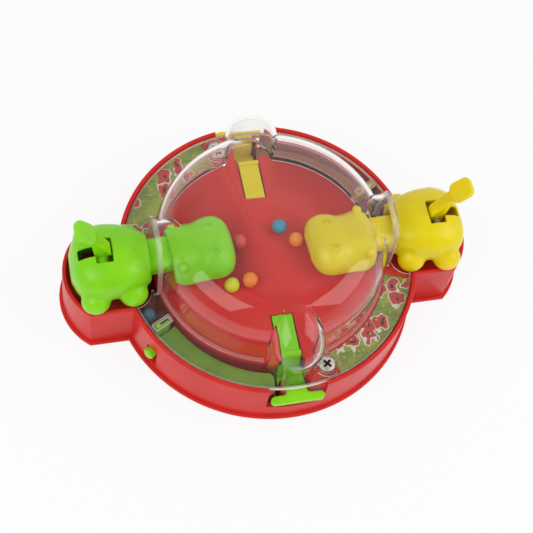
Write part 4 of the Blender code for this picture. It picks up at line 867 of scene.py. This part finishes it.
def cover_zone(at, normal):
    """Which finish of the cover this spot has: 0 clear, 1 white edge, 2 milky bead or lip."""
    out, low = math.hypot(at.x, at.y), at.z < FLANGE_TOP + EDGE_LOW
    at_hood = math.hypot(at.x, abs(at.y) - HOOD_OUT) < HOOD_RADIUS + HOOD_MARGIN
    if out > FLANGE_RADIUS - EDGE_BEAD[0] - GAP and at.z > FLANGE_TOP + GAP / 3 and not at_hood:
        return 1
    if out > DOME_RADIUS + EDGE_OUT and low and abs(normal.z) < 0.4 and (not at_hood or at.z < FLANGE_TOP):
        return 1
    beyond = out - DOME_RADIUS - DOME_DRAFT
    if not at_hood and low and at.z > FLANGE_TOP and -DOME_DRAFT / 2 < beyond < FOOT_BEAD[0] + GAP:
        return 2
    lip = ARCH_OUTER_END - 0.6 * ARCH_FLARE_LENGTH
    if abs(at.x) > lip and abs(at.y) < ARCH_HALF_WIDTH + 2 * ARCH_FLARE and at.z > FLANGE_TOP + GAP:
        return 2
    return 0


# Base

def make_base():
    """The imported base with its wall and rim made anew, round-edged and fine."""
    foot, wall = LIP_THICKNESS + GAP, RIM_WALL
    base = copy_of("base_shell", "base_fine")
    cut(base, prism(plan_outline(2 * LIP_STEP), DECK_TOP + GAP, RIM_TOP + OVERRUN))
    outside = prism(plan_outline(2 * LIP_STEP), foot - OVERRUN, RIM_TOP)
    cut(outside, prism(plan_outline(-wall / 2), foot - 2 * OVERRUN, RIM_TOP + OVERRUN))
    cut(base, outside)

    profile = [(-0.65 * wall, foot), (-0.65 * wall, DECK_TOP - GAP), (-wall, DECK_TOP - GAP)]
    profile += quarter(-wall + RIM_ROUND, RIM_TOP - RIM_ROUND, RIM_ROUND, 180.0)
    profile += quarter(-RIM_ROUND, RIM_TOP - RIM_ROUND, RIM_ROUND, 90.0)
    drop = RIM_TOP - RIM_ROUND - foot
    profile += [(WALL_DRAFT * share, RIM_TOP - RIM_ROUND - drop * share) for share in WALL_SHARES]
    rim = outline_ring(profile, "rim")

    def notch():
        near, far, top = NOTCH_INNER - NOTCH_SCREEN, RIM_RADIUS + 2 * LIP_STEP, RIM_TOP + OVERRUN
        outline = [(near, DECK_TOP), (NOTCH_INNER, DECK_TOP), (NOTCH_INNER, NOTCH_BOTTOM)]
        outline += [(far, NOTCH_BOTTOM), (far, top), (near, top)]
        return loft([[(x, y, z) for y, z in outline] for x in (-NOTCH_HALF_WIDTH, NOTCH_HALF_WIDTH)])

    def peg_slot():
        reach = (RIM_RADIUS - wall - OVERRUN, RIM_RADIUS + 2 * LIP_STEP)
        return turn_about_z(box(reach, (-PEG_SLOT_HALF, PEG_SLOT_HALF), PEG_SLOT_Z), PEG_DEG)

    both_sides(rim, cut, notch)
    both_sides(rim, cut, peg_slot)
    join(base, rim)
    shaded(base, 40.0)
    place(base, "base_fine", "base", "red_shell", RED, "base_shell")


def make_bottom_cover():
    edge = quarter(LIP_STEP - LIP_ROUND, LIP_THICKNESS - LIP_ROUND, LIP_ROUND, 90.0)
    edge += quarter(LIP_STEP - LIP_ROUND, LIP_ROUND, LIP_ROUND, 0.0)
    cover = loft([[(x, y, z) for x, y in plan_outline(offset)] for offset, z in edge], "bottom_cover_fine")
    for at in POSTS:
        join(cover, turned([(POST_RADIUS, LIP_THICKNESS / 2), (POST_RADIUS, POST_TOP)], *at))
        cut(cover, turned([(POST_HOLE, -OVERRUN), (POST_HOLE, POST_SEAT)], *at))
        hole = [(POST_SHAFT_HOLE, POST_SEAT - OVERRUN), (POST_SHAFT_HOLE, POST_TOP + OVERRUN)]
        cut(cover, turned(hole, *at))
    shaded(cover, 40.0)
    place(cover, "bottom_cover_fine", "base", "red_shell", RED, "bottom_cover")


# Hippos

def make_body_shape():
    """The hollow body of the yellow side, soft-edged like a moulding."""
    length, height = BODY_BACK - BODY_FRONT, BODY_TOP - BODY_BOTTOM

    def ring(share, inset, steps):
        x = BODY_FRONT + length * share
        x = min(max(x, BODY_FRONT + inset), BODY_BACK - inset)
        half = BODY_HALF_WIDTH * eased(BODY_X_SHARES, BODY_WIDTH_SHARES, share) - inset
        low = BODY_BOTTOM + height * eased(BODY_X_SHARES, BODY_BOTTOM_SHARES, share) + inset
        top = BODY_BOTTOM + height * eased(BODY_X_SHARES, BODY_TOP_SHARES, share) - inset
        return rounded_ring(x, half, low, top, BODY_FLARE, steps)

    body = loft([ring(k / 36, 0.0, 72) for k in range(37)])
    for x, y, z in FEET:
        for sign in (-1, 1):
            join(body, ellipsoid((x, sign * y, z), FOOT_RADII, 40))
    moulded(body, BODY_GRID, 14)

    hollow = loft([ring(k / 20, BODY_WALL, 40) for k in range(2, 19)])
    inside = (BODY_FRONT + 3 * BODY_WALL, BODY_BACK - 4 * BODY_WALL)
    join(hollow, box(inside, (-BELLY_HALF_WIDTH, BELLY_HALF_WIDTH), (BODY_BOTTOM - OVERRUN, BELLY_TOP)))
    near, far, half = PIN_LUG
    x, z = LEVER_LINE
    for sign in (-1, 1):
        cut(hollow, box((x - half, x + half), sorted((sign * near, sign * far)), (z - half, BODY_TOP)))
    radius, top = REAR_BOSS
    cut(hollow, turned([(radius, BODY_BOTTOM - 2 * OVERRUN), (radius, top)], REAR_SCREW_X, 0.0))
    cut(body, hollow)
    mouth = (BODY_FRONT - 2 * OVERRUN, BODY_FRONT + length / 4)
    cut(body, box(mouth, (-MOUTH_HALF_WIDTH, MOUTH_HALF_WIDTH), MOUTH_Z))
    inner, middle, outer = SLOT_X
    wide, thin = SLOT_HALF_WIDTH, STEM_HALF_WIDTH
    slot = [(inner, -wide), (middle, -wide), (middle, -thin), (outer, -thin)]
    slot += [(x, -y) for x, y in reversed(slot)]
    cut(body, prism(slot, SLOT_FLOOR, BODY_TOP + OVERRUN))
    cut(body, rod(PIN_HOLE, (x, -PIN_HALF_LENGTH, z), (x, PIN_HALF_LENGTH, z)))
    moulded(body, BODY_FINE_GRID, 3)

    rim = prism(plan_outline(FOOT_RADII[1]), BODY_BOTTOM - OVERRUN, RIM_TOP + GAP)
    cut(rim, prism(plan_outline(-RIM_WALL - GAP), BODY_BOTTOM - 2 * OVERRUN, RIM_TOP + OVERRUN))
    cut(body, rim)
    floor_room = (BODY_BOTTOM - 3 * OVERRUN, BODY_BOTTOM)
    cut(body, box((BODY_FRONT - OVERRUN, BODY_BACK + OVERRUN), (-EAR_HALF_WIDTH, EAR_HALF_WIDTH), floor_room))
    return body


def head_ring(share, inset, drop, steps):
    """An arch ring of the head, open below, whose hem flares out a little."""
    x = HEAD_NOSE + (HEAD_BACK - HEAD_NOSE) * share
    x = min(max(x, HEAD_NOSE + inset), HEAD_BACK - inset)
    half = HEAD_HALF_WIDTH * eased(HEAD_X_SHARES, HEAD_WIDTH_SHARES, share) - inset
    hem = HEAD_HALF_WIDTH * eased(HEAD_X_SHARES, HEAD_HEM_SHARES, share) - inset
    top = HEAD_BOTTOM + (HEAD_TOP - HEAD_BOTTOM) * eased(HEAD_X_SHARES, HEAD_TOP_SHARES, share) - inset
    bottom = HEAD_BOTTOM - HEM_DROP * eased(HEAD_X_SHARES, HEM_DROP_SHARES, share) - drop
    spring = bottom + drop + HEAD_SKIRT
    points = [(x, hem, bottom)]
    for k in range(steps + 1):
        y, z = polar(1.0, 180.0 * k / steps)
        y = math.copysign(abs(y) ** (2 / HEAD_FLARE), y)
        z = max(z, 0.0) ** (2 / HEAD_FLARE)
        wide = half + (hem - half) * (1 - z) ** 2
        points.append((x, wide * y, spring + (top - spring) * z))
    points.append((x, -hem, bottom))
    return points


def make_head_shape():
    """The hollow upper head of the yellow side."""
    head = loft([head_ring(k / 40, 0.0, 0.0, 48) for k in range(41)])
    nostril_x, nostril_y = NOSTRIL
    tall = (HEAD_TOP - HEAD_BOTTOM) * eased(HEAD_X_SHARES, HEAD_TOP_SHARES, 0.35)
    nostril_z = HEAD_BOTTOM + tall
    for sign in (-1, 1):
        at = (nostril_x, sign * nostril_y, nostril_z - NOSTRIL_RADIUS)
        join(head, ellipsoid(at, (NOSTRIL_RADIUS, NOSTRIL_RADIUS, NOSTRIL_RADIUS + NOSTRIL_RISE)))
        x, y, z = EAR
        join(head, ellipsoid((x, sign * y, z), (EAR_RADIUS,) * 3))
    moulded(head, HEAD_GRID, 5)

    hollow = loft([head_ring(k / 20, HEAD_WALL, 2 * OVERRUN, 30) for k in range(2, 19)])
    near, far, half = HEAD_LUG
    x, z = HEAD_PIN
    for sign in (-1, 1):
        cut(hollow, box((x - half, x + half), sorted((sign * near, sign * far)), (HEAD_BOTTOM, z + half)))
    cut(head, hollow)
    side, low, top, turn = NECK_DOOR
    door = [(side, low), (side, top - turn)]
    for degrees in (22.5, 45.0, 67.5, 90.0):
        y, rise = polar(turn, degrees)
        door.append((side - turn + y, top - turn + rise))
    door += [(-y, rise) for y, rise in reversed(door)]
    cut(head, loft([[(out, y, rise) for y, rise in door] for out in (x - half / 2, HEAD_BACK + OVERRUN)]))
    for sign in (-1, 1):
        hole = [(NOSTRIL_HOLE, nostril_z), (NOSTRIL_HOLE, nostril_z + 2 * NOSTRIL_RADIUS)]
        cut(head, turned(hole, nostril_x, sign * nostril_y, 24))
    cut(head, rod(PIN_HOLE, (x, -HEAD_PIN_HALF, z), (x, HEAD_PIN_HALF, z)))
    moulded(head, HEAD_FINE_GRID, 3)
    move = Matrix.Translation((LEAN_X, 0.0, 0.0))
    head.data.transform(move @ Matrix.Rotation(math.radians(LEAN_DEG), 4, "Z") @ move.inverted())
    return head


def twins(shape, name, body, finish_for):
    """Hands over one shape for the yellow side and its half turn for the green side."""
    for side, degrees in SIDES.items():
        piece = shape
        if degrees:
            piece = bpy.data.objects.new("twin", shape.data.copy())
            bpy.context.scene.collection.objects.link(piece)
            turn_about_z(piece, degrees)
        node = f"{side}_{name}"
        where = f"{side}_{body}" if body else "base"
        finish, slot = finish_for(side)
        place(piece, node + "_fine", where, slot, finish, node)


def coloured(side):
    return SIDE_FINISH[side], f"{side}_parts"


SOFT = {
    "tail_lever": (0.00028, 4, "lever"),
    "neck": (0.00032, 4, "neck_slide"),
    "gate": (0.00026, 3, "gate_slide"),
    "launcher": (0.00026, 4, "launcher_tongue"),
}


def fuller_handle():
    """The handle of the rear launcher widens towards its neck."""
    half, neck, near, far = HANDLE
    edge = [(half, far - GAP), (half, near + (far - near) / 3)]
    edge += [(0.74 * half, near + GAP), (0.60 * half, near), (neck, near - GAP)]
    return prism(edge + [(-x, y) for x, y in reversed(edge)], *HANDLE_Z)


def domed_peg():
    """The rounded end of the peg of the yellow gate."""
    radius, end, height = PEG
    x, y = polar(end - PEG_CAP / 3, PEG_DEG)
    cap = ellipsoid((0.0, 0.0, 0.0), (PEG_CAP, radius, radius), 28)
    turn = Matrix.Rotation(math.radians(PEG_DEG), 4, "Z")
    cap.data.transform(Matrix.Translation((x, y, height)) @ turn)
    return cap


ADDED = {"launcher": fuller_handle, "gate": domed_peg}


def soften_mechanism():
    """Levers, necks, gates and launchers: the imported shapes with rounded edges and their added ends."""
    for name, (voxel, rounds, body) in SOFT.items():
        for side, degrees in SIDES.items():
            node = f"{side}_{name}"
            piece = copy_of(node, node + "_fine")
            if name in ADDED:
                join(piece, turn_about_z(ADDED[name](), degrees))
            moulded(piece, voxel, rounds)
            shaded(piece, 60.0)
            place(piece, node + "_fine", f"{side}_{body}", f"{side}_parts", SIDE_FINISH[side], node)


# What repeats or follows a path

def node_tree(name, inputs):
    """A Geometry Nodes tree with a geometry socket at each end and named inputs."""
    tree = bpy.data.node_groups.new(name, "GeometryNodeTree")
    tree.interface.new_socket("Geometry", in_out="INPUT", socket_type="NodeSocketGeometry")
    for label, kind, value in inputs:
        socket = tree.interface.new_socket(label, in_out="INPUT", socket_type="NodeSocket" + kind)
        if value is not None:
            socket.default_value = value
    tree.interface.new_socket("Geometry", in_out="OUTPUT", socket_type="NodeSocketGeometry")
    return tree, tree.nodes.new("NodeGroupInput"), tree.nodes.new("NodeGroupOutput")


def grown(source, tree, name, values):
    """Runs a tree on the source and keeps the result as a plain mesh."""
    modifier = source.modifiers.new(name, "NODES")
    modifier.node_group = tree
    for item in tree.interface.items_tree:
        if item.in_out == "INPUT" and item.name in values:
            modifier[item.identifier] = values[item.name]
    mesh = bpy.data.meshes.new_from_object(source.evaluated_get(bpy.context.evaluated_depsgraph_get()))
    source.modifiers.clear()
    bpy.data.objects.remove(source)
    obj = bpy.data.objects.new(name, mesh)
    bpy.context.scene.collection.objects.link(obj)
    return obj


def dressed(sheet, given, shape):
    """Makes the copies real and gives them the material."""
    real = sheet.node("RealizeInstances", {0: shape})
    return sheet.node("SetMaterial", {"Geometry": real.outputs[0], "Material": given["Material"]}).outputs[0]


def screw_row_tree():
    """Sets one screw on each point, each turned at random, scaled and if wanted upside down."""
    tree, given, result = node_tree("screw_row", [
        ("Screw", "Object", None), ("Scale", "Float", 1.0), ("Tip", "Float", 0.0), ("Seed", "Int", 7),
        ("Material", "Material", None), ("Recess Material", "Material", None)])
    sheet, given = Sheet(tree, "GeometryNode"), given.outputs
    source = sheet.node("ObjectInfo", {"Object": given["Screw"]})
    turn = sheet.node("FunctionNodeRandomValue", {3: 2 * math.pi, "Seed": given["Seed"]}, data_type="FLOAT")
    angles = sheet.node("ShaderNodeCombineXYZ", {"X": given["Tip"], "Z": turn.outputs[1]})
    setting = sheet.node("InstanceOnPoints", {
        "Points": given["Geometry"], "Instance": source.outputs["Geometry"],
        "Rotation": angles.outputs[0], "Scale": given["Scale"]})
    # the faces of the cross recess take the painted-shade material
    recess = sheet.node("InputNamedAttribute", {"Name": "recess"}, data_type="BOOLEAN")
    darkened = sheet.node("SetMaterial", {
        "Geometry": dressed(sheet, given, setting.outputs[0]),
        "Selection": recess.outputs["Attribute"], "Material": given["Recess Material"]})
    sheet.feed(result.inputs[0], darkened.outputs[0])
    return tree


def wound_wire_tree():
    """Draws round wire along the edges it is given."""
    tree, given, result = node_tree("wound_wire", [
        ("Wire Radius", "Float", 0.0003), ("Sides", "Int", 14), ("Material", "Material", None)])
    sheet, given = Sheet(tree, "GeometryNode"), given.outputs
    path = sheet.node("MeshToCurve", {"Mesh": given["Geometry"]})
    section = sheet.node("CurvePrimitiveCircle", {
        "Radius": given["Wire Radius"], "Resolution": given["Sides"]})
    wire = sheet.node("CurveToMesh", {
        "Fill Caps": True, "Curve": path.outputs[0], "Profile Curve": section.outputs["Curve"]})
    sheet.feed(result.inputs[0], dressed(sheet, given, wire.outputs[0]))
    return tree


def make_screw_shape():
    """A pan head with a rolled edge and a cross recess, seat at zero, shaft downward."""
    head, tall, shaft = COVER_SCREW_HEAD, SCREW_HEIGHT, SCREW_SHAFT
    profile = [(0.0, tall), (0.45 * head, 0.985 * tall)]
    for k in range(8):
        x, z = polar(1.0, 80.0 - 80.0 * k / 7)
        profile.append((head * (0.62 + 0.38 * x), tall * (0.30 + 0.66 * z)))
    profile += [(head, SCREW_UNDERCUT), (0.97 * head, 0.0), (shaft, 0.0), (shaft, -SCREW_LENGTH)]
    profile.append((0.0, -SCREW_LENGTH - SCREW_TIP))
    shape = turned(profile, steps=56)
    for flip in (False, True):
        rings = []
        ends = ((CROSS_FOOT, tall - CROSS_DEPTH), (CROSS_TOP, tall + SCREW_UNDERCUT))
        for (long, wide), z in ends:
            if flip:
                long, wide = wide, long
            rings.append([(long, wide, z), (-long, wide, z), (-long, -wide, z), (long, -wide, z)])
        cut(shape, loft(rings))
    # faces of the cross recess, which get the painted shade
    recess = shape.data.attributes.new("recess", "BOOLEAN", "FACE")
    for face, mark in zip(shape.data.polygons, recess.data):
        x, y, z = face.center
        side_on = abs(face.normal.z) < 0.75 or z < 0.6 * tall
        mark.value = z > 0 and math.hypot(x, y) < CROSS_REACH and side_on
    return shaded(shape, 30.0)


def make_screws():
    shape = make_screw_shape()
    tree = screw_row_tree()

    def row(name, places, values, *replaced):
        bm = bmesh.new()
        for at in places:
            bm.verts.new(at)
        given = {"Screw": shape, "Seed": 11, "Material": ZINC, "Recess Material": RECESS_PAINTED_SHADE}
        made = grown(link(name, bm, outward=False), tree, name, {**given, **values})
        dark = [finish == RECESS_PAINTED_SHADE for finish in made.data.materials]
        marks = [dark[face.material_index] for face in made.data.polygons]
        place(made, name, "base", "screw_steel", ZINC, *replaced)
        made.data.materials.append(RECESS_PAINTED_SHADE)
        for face, mark in zip(made.data.polygons, marks):
            face.material_index = int(mark)

    x, y = COVER_SCREW
    row("cover_screws", [(x, y, SCREW_SEAT), (-x, -y, SCREW_SEAT)], {},
        "yellow_cover_screw", "green_cover_screw")
    names = [f"bottom_screw_{k}" for k in range(1, 5)]
    row("bottom_screws", [(px, py, POST_SEAT - GAP) for px, py in POSTS],
        {"Scale": BOTTOM_SCREW_SCALE, "Tip": math.pi}, *names)
    bpy.data.objects.remove(shape)


def make_springs():
    count = 96
    x, z = LEVER_LINE
    coil = []
    for k in range(count + 1):
        share = k / count
        along, rise = polar(SPRING_RADIUS, SPRING_START_DEG - 360.0 * SPRING_TURNS * share)
        coil.append(Vector((x + along, SPRING_START + (SPRING_END - SPRING_START) * share, z + rise)))
    end_deg = SPRING_START_DEG - 360.0 * SPRING_TURNS
    first = Vector((*polar(SPRING_LEVER_LEG, SPRING_START_DEG - 90.0), 0.0)).xzy
    last = Vector((*polar(SPRING_ROOF_LEG, end_deg - 90.0), 0.0)).xzy
    points = [coil[0] + first] + coil + [coil[-1] + last]
    bm = bmesh.new()
    verts = [bm.verts.new(point) for point in points]
    for near, far in zip(verts, verts[1:]):
        bm.edges.new((near, far))
    wire = grown(link("wire", bm, outward=False), wound_wire_tree(), "wire",
                 {"Wire Radius": SPRING_WIRE, "Material": ZINC})
    wire.data.shade_smooth()
    twins(wire, "return_spring", None, lambda side: (ZINC, "screw_steel"))


# Balls

def make_balls():
    slots = {"tray_ball": "blue_ball", "front_orange_ball": "orange_ball"}
    rise, width = BALL_SEAM
    for name in BALLS:
        low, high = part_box(name)
        middle = (Vector(low) + Vector(high)) / 2
        bm = bmesh.new()
        bmesh.ops.create_uvsphere(bm, u_segments=64, v_segments=41, radius=BALL_CORE * BALL_RADIUS)
        for vert in bm.verts:
            belt = 1.0 + rise * math.exp(-(vert.co.z / width) ** 2)
            vert.co.x, vert.co.y = vert.co.x * belt, vert.co.y * belt
        ball = link(name + "_fine", bm)
        ball.data.transform(Matrix.Translation(middle) @ Matrix.Rotation(0.6, 4, (0.6, 0.8, 0.1)))
        ball.data.shade_smooth()
        finish = BALL_FINISH[name.removeprefix("front_").removesuffix("_ball")]
        place(ball, name + "_fine", f"{name}_loose", slots.get(name, name), finish, name)


def dress_node(node, finish):
    data = nodes[node]
    for slot in data.material_slots:
        slot.material = finish
    if not data.material_slots:
        data.data.materials.append(finish)


# Camera, light and floor

FOCAL = 1108.67
FRAME = 533.0
CENTRE = (262.16, 278.21)
AZIMUTH, ELEVATION, ROLL = -24.04, 62.45, 14.46
DISTANCE = 0.53998


def set_camera():
    turn, rise, roll = (math.radians(value) for value in (AZIMUTH, ELEVATION, ROLL))
    back = Vector((math.sin(turn) * math.cos(rise), -math.cos(turn) * math.cos(rise), math.sin(rise)))
    level = Vector((math.cos(turn), math.sin(turn), 0.0))
    upward = back.cross(level)
    right = math.cos(roll) * level + math.sin(roll) * upward
    up = math.cos(roll) * upward - math.sin(roll) * level
    data = bpy.data.cameras.new("camera")
    data.lens = data.sensor_width * FOCAL / FRAME
    data.shift_x = (FRAME / 2 - CENTRE[0]) / FRAME
    data.shift_y = (CENTRE[1] - FRAME / 2) / FRAME
    data.clip_start = 0.01
    camera = bpy.data.objects.new("camera", data)
    frame_axes = Matrix((right, up, back)).transposed().to_4x4()
    camera.matrix_world = Matrix.Translation(back * DISTANCE) @ frame_axes
    bpy.context.scene.collection.objects.link(camera)
    bpy.context.scene.camera = camera


def lamp(name, at, target, width, height, power):
    data = bpy.data.lights.new(name, "AREA")
    data.shape = "RECTANGLE"
    data.size, data.size_y = width, height
    data.energy = power
    obj = bpy.data.objects.new(name, data)
    obj.location = at
    obj.rotation_euler = (Vector(target) - Vector(at)).to_track_quat("-Z", "Y").to_euler()
    bpy.context.scene.collection.objects.link(obj)


def toward(azimuth, elevation, distance):
    flat = distance * math.cos(math.radians(elevation))
    x, y = polar(flat, azimuth)
    return x, y, distance * math.sin(math.radians(elevation))


def looked_at(sheet, path):
    """One for rays from the camera, mirrored ones and those through clear plastic, zero for the rest."""
    straight = sheet.maths("MAXIMUM", path.outputs["Is Camera Ray"], path.outputs["Is Glossy Ray"])
    return sheet.maths("MAXIMUM", straight, path.outputs["Is Transmission Ray"])


def studio_white(sheet):
    """Share of white in each mirrored direction: behind and low at the sides, not overhead or in front."""
    direction = sheet.node("TexCoord").outputs["Generated"]
    parts = sheet.node("SeparateXYZ", {0: direction})
    sideways = sheet.maths("MULTIPLY", parts.outputs["X"], 0.407)
    behind = sheet.maths("MULTIPLY_ADD", parts.outputs["Y"], 0.913, sideways)
    sweep = sheet.clamped(behind, 0.15, 0.75)
    low = sheet.clamped(sheet.maths("SUBTRACT", 1.0, parts.outputs["Z"]), 0.55, 0.80)
    return sheet.maths("MAXIMUM", sweep, sheet.maths("MULTIPLY", low, sheet.clamped(behind, -0.8, -0.1)))


def set_light():
    middle = (0.0, 0.0, 0.03)
    lamp("left_softbox", toward(-152.0, 47.0, 0.9), middle, 0.60, 0.62, 2.1)
    lamp("right_softbox", toward(-22.0, 44.0, 0.9), middle, 0.60, 0.62, 2.1)

    world = bpy.data.worlds.new("studio")
    world.use_nodes = True
    tree = world.node_tree
    sheet = Sheet(tree)
    lit = tree.nodes["Background"]
    lit.inputs["Color"].default_value = (1.0, 0.995, 0.99, 1.0)
    lit.inputs["Strength"].default_value = 0.60
    share = studio_white(sheet)
    path = sheet.node("LightPath")
    dimmed = sheet.maths("MULTIPLY", path.outputs["Is Glossy Ray"], sheet.maths("SUBTRACT", 1.0, share))
    tone = sheet.blend(dimmed, (1.0, 1.0, 1.0, 1.0), (0.28, 0.28, 0.28, 1.0))
    seen = sheet.node("Background", {"Color": tone, "Strength": 1.0})
    mix = sheet.node("MixShader", {0: looked_at(sheet, path), 1: lit.outputs[0], 2: seen.outputs[0]})
    tree.links.new(mix.outputs[0], tree.nodes["World Output"].inputs["Surface"])
    bpy.context.scene.world = world


def set_floor():
    half = 1.5
    bm = bmesh.new()
    corners = ((-half, -half), (half, -half), (half, half), (-half, half))
    bm.faces.new([bm.verts.new((x, y, -GAP)) for x, y in corners])
    floor = link("floor", bm)
    made, sheet, shader = new_finish("pale_floor")
    shade = sheet.noise(3.0, 2.0)
    sheet.feed(shader.inputs["Base Color"], sheet.blend(shade, linear(250, 250, 250), linear(247, 247, 247)))
    shader.inputs["Roughness"].default_value = 0.9
    shader.inputs["Specular IOR Level"].default_value = 0.1
    white = sheet.node("Emission", {"Color": (1.0, 1.0, 1.0, 1.0), "Strength": 1.0})
    path = sheet.node("LightPath")
    share = sheet.maths("MULTIPLY", looked_at(sheet, path), 0.86)
    mix = sheet.node("MixShader", {0: share, 1: shader.outputs[0], 2: white.outputs[0]})
    tree = made.node_tree
    tree.links.new(mix.outputs[0], tree.nodes["Material Output"].inputs["Surface"])
    floor.data.materials.append(made)


def main():
    set_camera()
    set_light()
    set_floor()
    make_clear_cover()
    make_base()
    make_bottom_cover()
    twins(shaded(make_body_shape(), 50.0), "hippo_body", None, coloured)
    twins(shaded(make_head_shape(), 50.0), "head", "head_tip", coloured)
    soften_mechanism()
    make_screws()
    make_springs()
    make_balls()
    for side in SIDES:
        for name in ("front_screw", "rear_screw", "lever_pin", "head_pin"):
            dress_node(f"{side}_{name}", ZINC)
        dress_node(f"{side}_ball_ramp", RAMP if side == "green" else FAR_RAMP)
        dress_node(f"{side}_side_label", LABEL)

    scene = bpy.context.scene
    scene.view_settings.view_transform = "Standard"


main()
